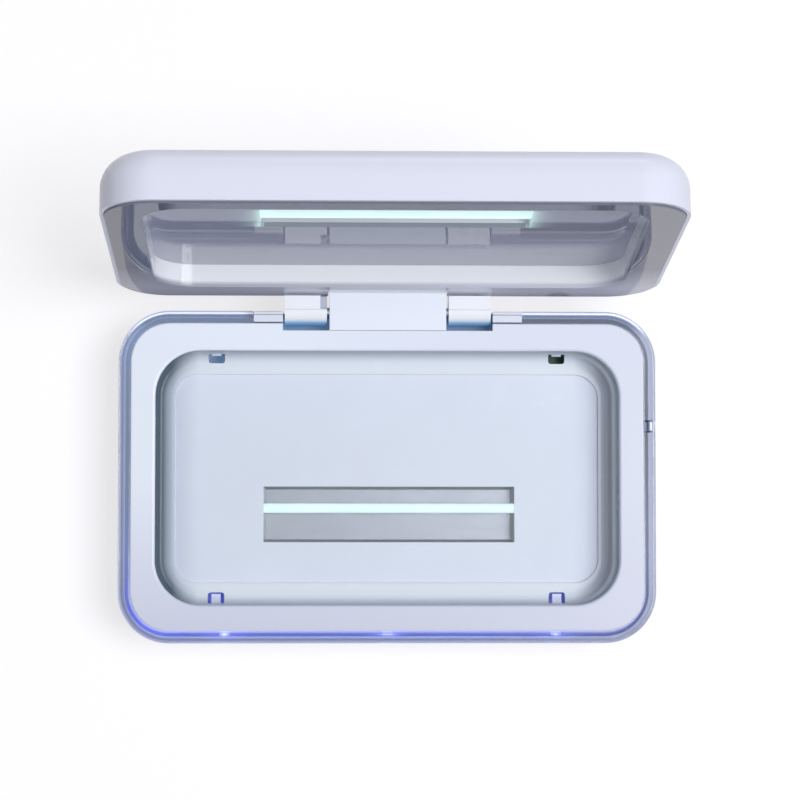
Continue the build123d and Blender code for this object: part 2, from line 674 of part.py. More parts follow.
def arm_neck():
    """Side of the neck: a shoulder just below the panel, and a thin root behind the panel's edge."""
    root_y, root_z = AXIS_Y - RIM_EDGE, RIM_Z + ARM_ROOT_H
    turn = math.acos(KNUCKLE_R / (root_z - AXIS_Z))
    back = (AXIS_Y + KNUCKLE_R * math.sin(turn), AXIS_Z + KNUCKLE_R * math.cos(turn))
    return make_face(Polyline(
        (ARM_Y0, AXIS_Z), (NECK_Y0, NECK_Z), (root_y, NECK_Z), (root_y, root_z), (AXIS_Y, root_z),
        back, (AXIS_Y, AXIS_Z), close=True,
    ))


def arm_blank():
    """Lid-side knuckle, its neck, the root in the shell's wall and the tongue inside the lid."""
    arm = bar_x(KNUCKLE_R, ARM_X0, ARM_X1, AXIS_Y, AXIS_Z)
    arm += side_prism(arm_neck(), ARM_X0, ARM_X1)
    arm += block(ARM_X0, ARM_X1, TONGUE_Y0, AXIS_Y, RIM_TOP + SEAT, RIM_Z + ARM_ROOT_H)
    arm += block(ARM_X0, ARM_X1, TONGUE_Y0, TONGUE_Y1, RIM_TOP + SEAT, RIM_Z + TONGUE_H)
    arm -= bar_x(PIN_R + PIN_CLEAR, ARM_X0 - 1, ARM_X1 + 1, AXIS_Y, AXIS_Z)
    for x, z in arm_screw_places():
        arm -= bar_y(SMALL_SCREW_R + SLIP, TONGUE_Y0 - 1, TONGUE_Y1 + 1, x, z)
    return arm


def arm_screw_places():
    middle = (ARM_X0 + ARM_X1) / 2
    return [(middle + side * ARM_SCREW_SPREAD, RIM_Z + ARM_SCREW_UP) for side in (-1, 1)]


def wire_slot():
    """Way for the upper lamp's lead: down the tongue and along the neck's front."""
    x0, x1 = -ARM_X0 - WIRE_SLOT_W, -ARM_X0 + 1
    groove = make_face(Polyline(
        (ARM_Y0 - 1, AXIS_Z), (ARM_Y0, AXIS_Z), (ARM_Y0 + WIRE_SLOT_DEPTH, AXIS_Z + WIRE_SLOT_DEPTH / 2),
        (NECK_Y0 + WIRE_SLOT_DEPTH, RIM_Z), (NECK_Y0 - 1, RIM_Z), close=True,
    ))
    inside = block(x0, x1, TONGUE_Y0 - 1, TONGUE_Y1 + SEAT, RIM_Z, RIM_Z + TONGUE_H + 1)
    return side_prism(groove, x0, x1) + inside


def hinge_arm_right():
    return arm_blank()


def hinge_arm_left():
    return mirror(arm_blank(), Plane.YZ) - wire_slot()


def arm_screws():
    """Screws that hold the arms' tongues to the lid's rear wall."""
    screws = []
    for mirrored in (-1, 1):
        for x, z in arm_screw_places():
            head = bar_y(SMALL_HEAD_R, TONGUE_Y0 - SMALL_HEAD_H, TONGUE_Y0, mirrored * x, z)
            shank = bar_y(
                SMALL_SCREW_R, TONGUE_Y0 - SMALL_HEAD_H / 2, AXIS_Y - WALL + ARM_SCREW_BITE, mirrored * x, z,
            )
            screws.append(head + shank)
    return group(screws)


def block_sweep(radius, margin):
    """Space round the hinge axis that the fixed block takes as the lid turns."""
    return bar_x(radius, -BLOCK_W / 2 - margin, BLOCK_W / 2 + margin, AXIS_Y, AXIS_Z)


# ---------------------------------------------------------------- lid, drawn shut
def lid_shell():
    """White cover, hollow, with a big round along its top edge and a thin edge round the panel."""
    foot = RIM_Z + RIM_PROUD
    top = RIM_Z + LID_H
    cover = slab(BODY_W, BODY_D, BODY_R, foot, top)
    cover = fillet(edges_at(cover, top), LID_EDGE_R)
    hollow = slab(SHELL_IN_W, SHELL_IN_D, SHELL_IN_R, foot - 1, top - WALL)
    cover -= fillet(edges_at(hollow, top - WALL), LID_EDGE_R - WALL)
    cover -= slab(
        BODY_W - 2 * RIM_EDGE, BODY_D - 2 * RIM_EDGE, BODY_R - RIM_EDGE, foot - 1, RIM_TOP + SEAT
    )
    cover -= arm_room(SLIP, AXIS_Y - WALL - 1, AXIS_Y + 1, foot - 1, RIM_Z + ARM_ROOT_H + SLIP)
    hole_end = AXIS_Y - WALL + ARM_SCREW_BITE + SEAT
    for mirrored in (-1, 1):
        for x, z in arm_screw_places():
            cover -= bar_y(SMALL_SCREW_R + PILOT_CLEAR, TONGUE_Y1, hole_end, mirrored * x, z)
    return cover - block_sweep(SWEEP_R, SWEEP_CLEAR)


def recess_slab(grow, z0, z1):
    """The lid's recess in plan, grown by an even margin."""
    front = -BODY_D / 2 + RIM_FRONT
    rear = BODY_D / 2 - RIM_REAR
    return slab(
        BODY_W - 2 * RIM_SIDE + 2 * grow, rear - front + 2 * grow, RECESS_R + grow, z0, z1,
        y=(front + rear) / 2,
    )


def arm_room(margin, y0, y1, z0, z1):
    """Blocks round both arms where they enter the lid."""
    return [
        block(x0 - margin, x0 + ARM_X1 - ARM_X0 + margin, y0, y1, z0, z1) for x0 in (-ARM_X1, ARM_X0)
    ]


def lid_liner():
    """Glossy inner panel: the rim, the recess over the phone and the upper lamp's window."""
    panel = slab(BODY_W - 2 * RIM_INSET, BODY_D - 2 * RIM_INSET, BODY_R - RIM_INSET, RIM_Z, RIM_TOP)
    lip_w, lip_d, lip_r = SHELL_IN_W - 2 * SLIP, SHELL_IN_D - 2 * SLIP, SHELL_IN_R - SLIP
    lip = slab(lip_w, lip_d, lip_r, RIM_Z + RIM_T / 2, RIM_TOP + LIP_H)
    lip -= slab(lip_w - 2 * LIP_T, lip_d - 2 * LIP_T, lip_r - LIP_T, RIM_Z, RIM_TOP + LIP_H + 1)
    # The arms' tongues and screws pass behind the lip, so it stops beside them.
    beside = ARM_INNER_GAP - SWEEP_CLEAR + SLIP
    screw_room = arm_room(beside, TONGUE_Y0 - 2 * SMALL_HEAD_H, AXIS_Y, RIM_Z, RIM_Z + LID_H)
    panel += lip - screw_room
    panel += recess_slab(RECESS_WALL, RIM_Z + RIM_T / 2, CEILING_Z + WEB_T)
    cover = block_sweep(SWEEP_R + SWEEP_WALL, SWEEP_CLEAR + SWEEP_WALL)
    cover &= block(-BLOCK_W, BLOCK_W, 0, SHELL_IN_D / 2 - SLIP, RIM_Z, RIM_Z + LID_H)
    panel += cover - screw_room
    panel -= recess_slab(0, RIM_Z - 1, CEILING_Z)
    mouth = [e for e in edges_at(panel, RIM_Z) if inside_recess(e.center())]
    panel = fillet(mouth, RECESS_ROUND)
    panel -= block(
        LAMP_X - WINDOW_W / 2, LAMP_X + WINDOW_W / 2, WINDOW_Y - WINDOW_D / 2, WINDOW_Y + WINDOW_D / 2,
        CEILING_Z - 1, CEILING_Z + WEB_T + 1,
    )
    panel -= lamp_way(CEILING_Z, 1)
    return panel - block_sweep(SWEEP_R, SWEEP_CLEAR)


def inside_recess(point):
    front = -BODY_D / 2 + RIM_FRONT
    rear = BODY_D / 2 - RIM_REAR
    return abs(point.X) < BODY_W / 2 - RIM_SIDE + 0.1 and front - 0.1 < point.Y < rear + 0.1


# ---------------------------------------------------------------- leads
def lead(points):
    """Round lead along straight runs joined by arcs."""
    path = FilletPolyline(*points, radius=LEAD_BEND_R)
    start = Plane(origin=path @ 0, z_dir=path % 0)
    return sweep(start * Circle(LEAD_R), path)


def upper_lead():
    """From the left arm's tongue, through the lid, to the upper lamp's left end."""
    x = -ARM_X0 - WIRE_SLOT_W / 2
    y = SHELL_IN_D / 2 - LEAD_R - SLIP
    roof = CEILING_Z + WEB_T + HOLDER_H / 2
    end_x = lead_end_x()
    turn_x = end_x - LEAD_RUN_OUT
    cross_y = LAMP_Y + UPPER_LEAD_BEHIND
    return lead([
        (x, y, RIM_TOP + SEAT), (x, y, roof), (x, cross_y, roof), (turn_x, cross_y, roof),
        (turn_x, LAMP_Y, roof), (end_x, LAMP_Y, roof),
    ])


def lower_lead():
    """From the inverter to the lower lamp's left end."""
    x, y = inverter_middle()
    z = BOARD_Z + BOARD_T + LEAD_R + SEAT
    start_x = x - INVERTER_SIZE[0] / 2 - SEAT
    end_x = lead_end_x()
    turn_x = end_x - LEAD_RUN_OUT
    return lead([(start_x, y, z), (turn_x, y, z), (turn_x, LAMP_Y, z), (end_x, LAMP_Y, z)])


def lead_end_x():
    """Just outside the left lamp holder."""
    return LAMP_X - WINDOW_W / 2 - PAN_FLANGE - HOLDER_GAP - HOLDER_L - SEAT


# ---------------------------------------------------------------- fasteners and feet
def case_screws():
    """Screws from below that pull the deck down on the ring and the shell."""
    screws = []
    for x, y in four_corners(CASE_SCREW_X, CASE_SCREW_Y):
        seat = FOOT_H + CASE_HEAD_DEPTH
        head = post(CASE_HEAD_R, seat - CASE_HEAD_H, seat, x, y)
        screws.append(head + post(CASE_SCREW_R, seat - CASE_HEAD_H / 2, DECK_UNDER - 1, x, y))
    return group(screws)


def rubber_feet():
    return group(post(FOOT_R, 0, FOOT_H + FOOT_RECESS, x, y) for x, y in four_corners(FOOT_X, FOOT_Y))


# ---------------------------------------------------------------- writing
BASE_NODES = {
    "base_shell": base_shell,
    "light_ring": light_ring,
    "ring_end_left": lambda: ring_end(-1),
    "ring_end_right": lambda: ring_end(1),
    "deck_frame": deck_frame,
    "chamber_liner": chamber_liner,
    "quartz_plate": quartz_plate,
    "lower_reflector": lambda: lamp_pan(WEB_TOP, -1),
    "lower_lamp": lambda: lamp_tube(WEB_TOP, -1),
    "lower_lamp_holders": lambda: lamp_holders(WEB_TOP, -1),
    "lower_lamp_lead": lower_lead,
    "main_board": main_board,
    "lamp_inverter": lamp_inverter,
    "led_strip": led_strip,
    "status_leds": status_leds,
    "power_inlet": power_inlet,
    "lid_switch": lid_switch,
    "switch_plunger": switch_plunger,
    "hinge_block": hinge_block,
    "hinge_pin": hinge_pin,
    "block_screws": block_screws,
    "case_screws": case_screws,
    "rubber_feet": rubber_feet,
}
LID_NODES = {
    "lid_shell": lid_shell,
    "lid_liner": lid_liner,
    "upper_reflector": lambda: lamp_pan(CEILING_Z, 1),
    "upper_lamp": lambda: lamp_tube(CEILING_Z, 1),
    "upper_lamp_holders": lambda: lamp_holders(CEILING_Z, 1),
    "upper_lamp_lead": upper_lead,
    "hinge_arm_left": hinge_arm_left,
    "hinge_arm_right": hinge_arm_right,
    "arm_screws": arm_screws,
}

os.makedirs("parts", exist_ok=True)
TO_ORIGIN = Pos(0, -ORIGIN_Y, 0)
OPEN_LID = Pos(0, AXIS_Y, AXIS_Z) * Rot(-LID_OPEN, 0, 0) * Pos(0, -AXIS_Y, -AXIS_Z)
for name, make in BASE_NODES.items():
    export_step(TO_ORIGIN * make(), f"parts/{name}.step")
for name, make in LID_NODES.items():
    export_step(TO_ORIGIN * OPEN_LID * make(), f"parts/{name}.step")
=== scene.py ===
import bpy
import json
import math
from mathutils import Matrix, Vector


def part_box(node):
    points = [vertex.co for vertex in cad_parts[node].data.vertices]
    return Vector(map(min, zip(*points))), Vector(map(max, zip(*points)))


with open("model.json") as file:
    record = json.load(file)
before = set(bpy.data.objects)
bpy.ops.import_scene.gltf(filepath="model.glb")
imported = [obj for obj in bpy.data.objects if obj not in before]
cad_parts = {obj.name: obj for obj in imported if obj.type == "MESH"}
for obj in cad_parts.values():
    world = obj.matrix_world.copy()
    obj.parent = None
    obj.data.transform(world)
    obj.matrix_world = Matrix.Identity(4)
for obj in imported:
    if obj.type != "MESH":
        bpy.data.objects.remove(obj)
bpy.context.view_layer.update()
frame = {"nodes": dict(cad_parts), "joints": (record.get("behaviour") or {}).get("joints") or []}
nodes = frame["nodes"]

MM = 0.001


def plan_of(low, high, flange=0.0):
    """Middle of a box in plan, in metres, and its size in millimetres without a flange all round."""
    middle = ((low.x + high.x) / 2, (low.y + high.y) / 2, 0)
    return middle, ((high.x - low.x) / MM - 2 * flange, (high.y - low.y) / MM - 2 * flange)


# ---------------------------------------------------------------- places in metres, from the frame
_, deck_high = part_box("deck_frame")
base_low, base_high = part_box("base_shell")
mouth_low, mouth_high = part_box("chamber_liner")
pan_low, pan_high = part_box("upper_reflector")
hinge = next(j for j in frame["joints"] if j["name"] == "lid_hinge")
lid_open = math.radians(max(hinge["range_deg"]))
DECK_Z = deck_high.z
MID_Y = (base_low.y + base_high.y) / 2
AXIS = Vector(hinge["pos_m"])
LID_IN = Vector((0.0, math.sin(lid_open), math.cos(lid_open)))  # from the lid's rim into its recess
LID_UP = Vector((0.0, -LID_IN.z, LID_IN.y))  # from the hinge towards the lid's free edge
TO_RIGHT = (1, 0, 0)
UPWARD = (0, 0, 1)

# ---------------------------------------------------------------- sizes in millimetres
DECK = DECK_Z / MM
FRONT = base_low.y / MM
MIDDLE = MID_Y / MM
REAR = base_high.y / MM
RIGHT = base_high.x / MM
AXIS_Y = AXIS.y / MM

BODY_R = 17.0  # corners of the base in plan
WALL = 2.2  # the base's wall
FLOOR_Z = 3.4  # top of the base's floor
RING_W = 3.85  # the clear ring, from its rim to the deck
POCKET_HALF = 34.9  # half the width of the hinge's pocket
POCKET_Y = 28.3  # the pocket's front wall
MOUTH_R = 15.0  # corners of the mouth in plan
LINER_FLANGE = 3.5  # the tray's flange past the mouth
HINGE_HALF = 34.3  # half the width of the hinge with its arms
RIM_REACH = 5.2  # from the hinge's axis to the plane of the lid panel's rim
RECESS_DEPTH = 7.5  # from that plane to the lid recess's ceiling
PAN_FLANGE = 3.0  # the reflector's flange round its window
WINDOW_REACH = 67.45  # along the lid, from the hinge's axis to the middle of the lamp's window
WINDOW_HALF_D = 9.35  # half the window along the lid

base_plan = plan_of(base_low, base_high)
mouth_plan = plan_of(mouth_low, mouth_high, LINER_FLANGE)
MOUTH_HALF = mouth_plan[1][0] / 2
RIM_PLANE = AXIS + LID_IN * RIM_REACH * MM
WINDOW = AXIS + LID_UP * WINDOW_REACH * MM + Vector((((pan_low + pan_high) / 2).x, 0, 0))
WINDOW_HALF_W = (pan_high.x - pan_low.x) / 2 / MM - PAN_FLANGE


# ---------------------------------------------------------------- colours
def srgb(red, green, blue):
    """A display colour from 0 to 255 as the linear colour that shaders use."""
    def linear(v):
        v /= 255
        return v / 12.92 if v <= 0.04045 else ((v + 0.055) / 1.055) ** 2.4
    return tuple(linear(v) for v in (red, green, blue))


def shade(colour, factor):
    return tuple(min(1.0, c * factor) for c in colour)


def stops(*rows):
    """Stops of a ramp, each with its place and its display colour."""
    return tuple((place, srgb(*colour)) for place, colour in rows)


WHITE = srgb(229, 233, 251)
TRIM_WHITE = srgb(236, 242, 255)


# ---------------------------------------------------------------- node helpers
EULER = 2.718
MOSTLY = (0.3, 0.7)  # most of a noise texture lies in this range
NEARLY_ALL = (0.1, 0.9)
NOISE_ROUGHNESS = 0.55
SEEN_RAYS = ("Is Camera Ray", "Is Glossy Ray", "Is Transmission Ray")


class NodeTree:
    """Short calls that add nodes to a tree and link them."""

    def __init__(self, tree):
        self.tree = tree
        tree.nodes.clear()

    def add(self, kind, **settings):
        node = self.tree.nodes.new(kind)
        for key, value in settings.items():
            setattr(node, key, value)
        return node

    def link(self, source, target):
        self.tree.links.new(source, target)

    def put(self, value, socket):
        """Links a socket, or writes a number, a vector or a colour of three values in it."""
        if isinstance(value, bpy.types.NodeSocket):
            self.link(value, socket)
        elif socket.type == "RGBA":
            socket.default_value = (*value, 1)
        else:
            socket.default_value = value

    def math(self, operation, *values, clamp=False):
        node = self.add("ShaderNodeMath", operation=operation, use_clamp=clamp)
        for index, value in enumerate(values):
            self.put(value, node.inputs[index])
        return node.outputs["Value"]

    def total(self, first, *others):
        for other in others:
            first = self.math("ADD", first, other)
        return first

    def product(self, first, *others):
        for other in others:
            first = self.math("MULTIPLY", first, other)
        return first

    def absolute(self, value):
        return self.math("ABSOLUTE", value)

    def opposite(self, value):
        return self.math("SUBTRACT", 1.0, value)

    def decay(self, value):
        """Falls from 1 towards 0 as a value grows from 0."""
        return self.math("POWER", EULER, self.product(value, -1.0))

    def spread(self, value, low, high, start=MOSTLY[0], end=MOSTLY[1]):
        """Maps the values between start and end to low and high, and holds them there outside."""
        node = self.add("ShaderNodeMapRange")
        self.link(value, node.inputs["Value"])
        numbers = {"From Min": start, "From Max": end, "To Min": low, "To Max": high}
        for socket, number in numbers.items():
            node.inputs[socket].default_value = number
        return node.outputs["Result"]

    def rise(self, value, start=MOSTLY[0], end=MOSTLY[1]):
        return self.spread(value, 0.0, 1.0, start, end)

    def fall(self, value, start, end):
        return self.spread(value, 1.0, 0.0, start, end)

    def seen(self):
        """1 for rays that show a surface as it looks, 0 for rays that only light others."""
        path = self.add("ShaderNodeLightPath")
        largest = path.outputs[SEEN_RAYS[0]]
        for ray in SEEN_RAYS[1:]:
            largest = self.math("MAXIMUM", largest, path.outputs[ray])
        return largest


class Nodes(NodeTree):
    """A material's nodes. Places are the object's own, which is the shared frame."""

    def __init__(self, name):
        self.material = bpy.data.materials.new(name)
        self.material.use_nodes = True
        super().__init__(self.material.node_tree)
        self.output = self.add("ShaderNodeOutputMaterial")
        self.coordinates = self.add("ShaderNodeTexCoord")
        self.place = self.coordinates.outputs["Object"]

    def vector(self, operation, *values):
        node = self.add("ShaderNodeVectorMath", operation=operation)
        for index, value in enumerate(values):
            self.put(value, node.inputs[index])
        return node.outputs["Value" if operation in ("LENGTH", "DOT_PRODUCT") else "Vector"]

    def split(self, value):
        node = self.add("ShaderNodeSeparateXYZ")
        self.link(value, node.inputs["Vector"])
        return node.outputs

    def axis(self, name):
        """Distance in millimetres from the origin along X, Y or Z."""
        return self.product(self.split(self.place)[name], 1 / MM)

    def along(self, direction, start):
        """Distance in millimetres from a start along a direction."""
        away = self.vector("SUBTRACT", self.place, start)
        return self.product(self.vector("DOT_PRODUCT", away, direction), 1 / MM)

    def facing(self, direction):
        """1 where the surface faces a direction, 0 where it runs along it, -1 where it faces away."""
        return self.vector("DOT_PRODUCT", self.coordinates.outputs["Normal"], direction)

    def inset(self, plan, radius):
        """Distance in millimetres inside a rounded outline in plan."""
        middle, (width, depth) = plan
        flat = self.vector("MULTIPLY", self.vector("SUBTRACT", self.place, middle), (1 / MM, 1 / MM, 0))
        straight = (width / 2 - radius, depth / 2 - radius, 0)
        past = self.vector("SUBTRACT", self.vector("ABSOLUTE", flat), straight)
        corner = self.vector("LENGTH", self.vector("MAXIMUM", past, (0, 0, 0)))
        sides = self.split(past)
        side = self.math("MINIMUM", self.math("MAXIMUM", sides["X"], sides["Y"]), 0.0)
        return self.math("SUBTRACT", self.math("SUBTRACT", radius, corner), side)

    def blob(self, x, y, width, depth):
        """A soft spot in plan, 1 at its middle. All four are in millimetres."""
        away = self.vector("SUBTRACT", self.place, (x * MM, y * MM, 0))
        scaled = self.vector("MULTIPLY", away, (1 / (width * MM), 1 / (depth * MM), 0))
        reach = self.vector("LENGTH", scaled)
        return self.decay(self.product(reach, reach))

    def noise(self, scale, detail=3.0, stretch=None):
        node = self.add("ShaderNodeTexNoise")
        for socket, number in (("Scale", scale), ("Detail", detail), ("Roughness", NOISE_ROUGHNESS)):
            node.inputs[socket].default_value = number
        place = self.place
        if stretch:
            mapping = self.add("ShaderNodeMapping")
            mapping.inputs["Scale"].default_value = stretch
            self.link(place, mapping.inputs["Vector"])
            place = mapping.outputs["Vector"]
        self.link(place, node.inputs["Vector"])
        return node.outputs["Fac"]

    def between(self, value, first, second):
        """Mixes two colours, given as values or sockets, by a value from 0 to 1."""
        node = self.add("ShaderNodeMix", data_type="RGBA")
        self.link(value, node.inputs["Factor"])
        self.put(first, node.inputs["A"])
        self.put(second, node.inputs["B"])
        return node.outputs["Result"]

    def ramp(self, value, rows):
        """A colour for each value, from a few stops."""
        node = self.add("ShaderNodeValToRGB")
        elements = node.color_ramp.elements
        while len(elements) < len(rows):
            elements.new(0.5)
        for element, (place, colour) in zip(elements, rows):
            element.position = place
            element.color = (*colour, 1)
        self.link(value, node.inputs["Fac"])
        return node.outputs["Color"]

    def mottled(self, texture, colour, darkest, lightest, span=MOSTLY):
        """A colour that a texture takes from a darker to a lighter shade of it."""
        return self.between(self.rise(texture, *span), shade(colour, darkest), shade(colour, lightest))

    def bump(self, height, distance):
        """A normal that follows a height, at a distance in millimetres."""
        node = self.add("ShaderNodeBump")
        node.inputs["Distance"].default_value = distance * MM
        node.inputs["Strength"].default_value = 1.0
        self.link(height, node.inputs["Height"])
        return node.outputs["Normal"]

    def principled(self, **inputs):
        """The shader, with its inputs named as in base_color for Base Color."""
        node = self.add("ShaderNodeBsdfPrincipled")
        for key, value in inputs.items():
            self.put(value, node.inputs[key.replace("_", " ").title().replace("Ior", "IOR")])
        return node

    def glow(self, shader, colour, strength):
        self.put(colour, shader.inputs["Emission Color"])
        self.put(strength, shader.inputs["Emission Strength"])

    def finish(self, shader):
        self.link(shader, self.output.inputs["Surface"])
        return self.material


# ---------------------------------------------------------------- plain materials
DRIFT = 0.012  # share by which a plastic's tone drifts
UNEVEN = 0.015  # and by which its gloss does
SKIN_DEPTH = 0.0015  # this and the other depths in millimetres
METAL_SHADES = (0.86, 1.05)
METAL_GLOSS = (0.75, 1.3)
METAL_LINE_DEPTH = 0.004
CLEAR_SHADES = (0.97, 1.0)
CLEAR_WEAR = (0.6, 1.6)
RUBBER_SHADES = (0.9, 1.06)
RUBBER_DEPTH = 0.02
BOARD_GREENS = ((0.012, 0.10, 0.045), (0.02, 0.16, 0.07))
BOARD_STEPS = (0.45, 0.55)
BOARD_DEPTH = 0.02


def moulded(name, roughness, colour=None, dress=None):
    """Moulded plastic: a faint drift of tone, a fine skin and slightly uneven gloss.

    Where dress is given, it makes the tone instead and may add a glow."""
    n = Nodes(name)
    uneven = n.noise(scale=40.0, detail=1.0)
    gloss = n.spread(uneven, roughness * (1 - UNEVEN), roughness * (1 + UNEVEN), *NEARLY_ALL)
    skin = n.bump(n.noise(scale=5200.0, detail=2.0), SKIN_DEPTH)
    shader = n.principled(roughness=gloss, normal=skin)
    if dress:
        tone = dress(n, shader)
    else:
        drift = n.noise(scale=14.0, detail=1.0)
        tone = n.mottled(drift, colour, 1 - DRIFT, 1 + DRIFT / 2, NEARLY_ALL)
    n.link(tone, shader.inputs["Base Color"])
    return n.finish(shader.outputs["BSDF"])


def brushed_metal(name, roughness, colour):
    """Metal with fine lines along Y."""
    n = Nodes(name)
    lines = n.noise(scale=220.0, detail=4.0, stretch=(40.0, 1.0, 40.0))
    shinier, duller = METAL_GLOSS
    shader = n.principled(
        base_color=n.mottled(lines, colour, *METAL_SHADES), metallic=1.0,
        roughness=n.spread(lines, roughness * shinier, roughness * duller),
        normal=n.bump(lines, METAL_LINE_DEPTH),
    )
    return n.finish(shader.outputs["BSDF"])


def clear_solid(name, roughness, ior, colour, dress=None):
    """Clear solid that bends what is seen through it and lets light pass to what it covers.

    Where dress is given, it makes the tone instead and may add a glow."""
    n = Nodes(name)
    least, most = CLEAR_WEAR
    wear = n.spread(n.noise(scale=90.0), roughness * least, roughness * most)
    shader = n.principled(roughness=wear, transmission_weight=1.0, ior=ior)
    tone = dress(n, shader) if dress else n.mottled(n.noise(scale=30.0), colour, *CLEAR_SHADES)
    n.link(tone, shader.inputs["Base Color"])
    path = n.add("ShaderNodeLightPath")
    lighting = n.math("MAXIMUM", path.outputs["Is Shadow Ray"], path.outputs["Is Diffuse Ray"])
    clear = n.add("ShaderNodeBsdfTransparent")
    n.put(colour, clear.inputs["Color"])
    mix = n.add("ShaderNodeMixShader")
    for index, source in enumerate((lighting, shader.outputs["BSDF"], clear.outputs["BSDF"])):
        n.link(source, mix.inputs[index])
    return n.finish(mix.outputs["Shader"])


def rubber(name, colour):
    """Dull, finely grained rubber."""
    n = Nodes(name)
    tone = n.mottled(n.noise(scale=300.0, detail=5.0), colour, *RUBBER_SHADES)
    grain = n.bump(n.noise(scale=2600.0), RUBBER_DEPTH)
    shader = n.principled(base_color=tone, roughness=0.72, normal=grain)
    return n.finish(shader.outputs["BSDF"])


def board_green(name):
    """Lacquered circuit board, mottled along X."""
    n = Nodes(name)
    lacquer = n.noise(scale=900.0, detail=2.0, stretch=(1.0, 4.0, 1.0))
    tone = n.between(n.rise(lacquer, *BOARD_STEPS), *BOARD_GREENS)
    shader = n.principled(base_color=tone, roughness=0.35, normal=n.bump(lacquer, BOARD_DEPTH))
    return n.finish(shader.outputs["BSDF"])


# ---------------------------------------------------------------- lamps and diodes
LAMP_SHOWN = 0.80  # as the lamp looks
LAMP_CAST = 0.22  # as it lights what is near it
LAMP_GLOWS = ((0.72, 1.0, 0.96), (0.80, 1.0, 1.0))
LAMP_FLICKER = (0.96, 1.04)
LAMP_GLASS = (0.25, 0.30, 0.30)
LENS_GLOWS = ((0.16, 0.20, 1.0), (0.30, 0.34, 1.0))
LENS_STRENGTH = 0.20
LENS_PLASTIC = (0.35, 0.38, 0.8)


def lit_tube(name):
    """The lit lamp: pale green-blue, a little uneven along its length."""
    n = Nodes(name)
    flicker = n.spread(n.noise(scale=60.0, detail=2.0, stretch=(1.0, 8.0, 8.0)), *LAMP_FLICKER)
    shader = n.principled(base_color=LAMP_GLASS, roughness=0.12)
    shown = n.spread(n.seen(), LAMP_CAST, LAMP_SHOWN, 0.0, 1.0)
    n.glow(shader, n.between(n.rise(n.noise(scale=25.0)), *LAMP_GLOWS), n.product(flicker, shown))
    return n.finish(shader.outputs["BSDF"])


def lit_lens(name):
    """Lens of a lit diode."""
    n = Nodes(name)
    shader = n.principled(base_color=LENS_PLASTIC, roughness=0.4)
    n.glow(shader, n.between(n.rise(n.noise(scale=400.0)), *LENS_GLOWS), LENS_STRENGTH)
    return n.finish(shader.outputs["BSDF"])


# Painted shade: the reflector's tones are darker where it sits under the deck
PAN_BRIGHT = ((0.48, 0.50, 0.55), (0.52, 0.54, 0.59))
PAN_SHADED = ((0.24, 0.26, 0.30), (0.27, 0.29, 0.33))
PAN_BRIGHT_FROM = (DECK, DECK + 2)
PAN_GLOW = (0.70, 1.0, 0.95)
PAN_GLOW_SHARE = 0.6  # of the lamp's light, on the pan's ends
PAN_LIT_LOW = 0.15  # share of that at the window's lower edge
PAN_ENDS = (0.6, 0.9)  # how far the ends face left or right


def lit_pan(name):
    """Satin reflector, painted darker under the deck as shade, with the lamp's light painted on its
    sloping ends.
    """
    n = Nodes(name)
    lines = n.rise(n.noise(scale=60.0, detail=2.0, stretch=(1.0, 6.0, 6.0)))
    above = n.rise(n.axis("Z"), *PAN_BRIGHT_FROM)
    tone = n.between(above, n.between(lines, *PAN_SHADED), n.between(lines, *PAN_BRIGHT))
    shader = n.principled(base_color=tone, roughness=0.38, metallic=0.4)
    ends = n.rise(n.absolute(n.facing(TO_RIGHT)), *PAN_ENDS)
    fade = n.spread(n.along(LID_UP, WINDOW), PAN_LIT_LOW, 1.0, -WINDOW_HALF_D, 0.0)
    n.glow(shader, PAN_GLOW, n.product(ends, PAN_GLOW_SHARE * LAMP_SHOWN, fade))
    return n.finish(shader.outputs["BSDF"])


# ---------------------------------------------------------------- the lid's panel
# Painted light and shade on a white panel: grey rim and ceiling as shade, their paler low parts, lit
# walls, and the arms' reflection over the hinge
PANEL_FACE = srgb(146, 149, 168)
PANEL_FACE_LOW = srgb(172, 176, 196)
PANEL_RIM = srgb(106, 108, 126)
PANEL_RIM_LOW = srgb(196, 199, 216)
PANEL_HINGE_REFLECTION = srgb(222, 226, 242)
PANEL_LIT_WALL = srgb(248, 250, 255)
WINDOW_EDGE = srgb(158, 162, 178)
PANEL_GLOW = (0.62, 1.0, 0.90)
SPILL = 0.48  # the lamp's light beside the window's ends
SPILL_LOSS = 0.45  # how fast it falls, for each millimetre
WINDOW_LIT_LOW = 0.25  # share of the lamp's light at the window's lower edge

PANEL_GLOSS = (0.02, 0.035)
UPRIGHT = (0.25, 0.85)  # how far a face looks into the recess: a wall, and no wall

# Heights along the lid from the hinge's axis
RIM_FADES = (13.0, 36.0)
OVER_HINGE_ENDS = (8.6, 9.6)
FACE_FADES = (22.0, 62.0)

# Depths into the recess from the plane of the rim
WALL_STARTS = (0.5, 2.0)
RIM_ENDS = (1.5, 3.0)
NEAR_CEILING = (RECESS_DEPTH - 0.3, RECESS_DEPTH - 0.1)
PAST_CEILING = (RECESS_DEPTH + 0.05, RECESS_DEPTH + 0.15)
IN_WINDOW = (RECESS_DEPTH, RECESS_DEPTH + 0.2)

# Across, and from the middle of the window
RIM_LEFT, RIM_LEFT_SHARE = (-60.0, 30.0), 0.6  # the rim's paler low part is fainter at the left
HINGE_ENDS = (HINGE_HALF, HINGE_HALF + 0.5)
WINDOW_ENDS_D = (WINDOW_HALF_D + 0.1, WINDOW_HALF_D + 0.3)
WINDOW_ENDS_W = (WINDOW_HALF_W + 0.1, WINDOW_HALF_W + 0.3)
SPILL_LEVEL = (WINDOW_HALF_D - 1.0, WINDOW_HALF_D + 0.6)

# Past the window's short sides
OUTSIDE_STARTS = (-0.1, 0.1)
SIDE_BAND_STARTS = (-1.15, -0.95)


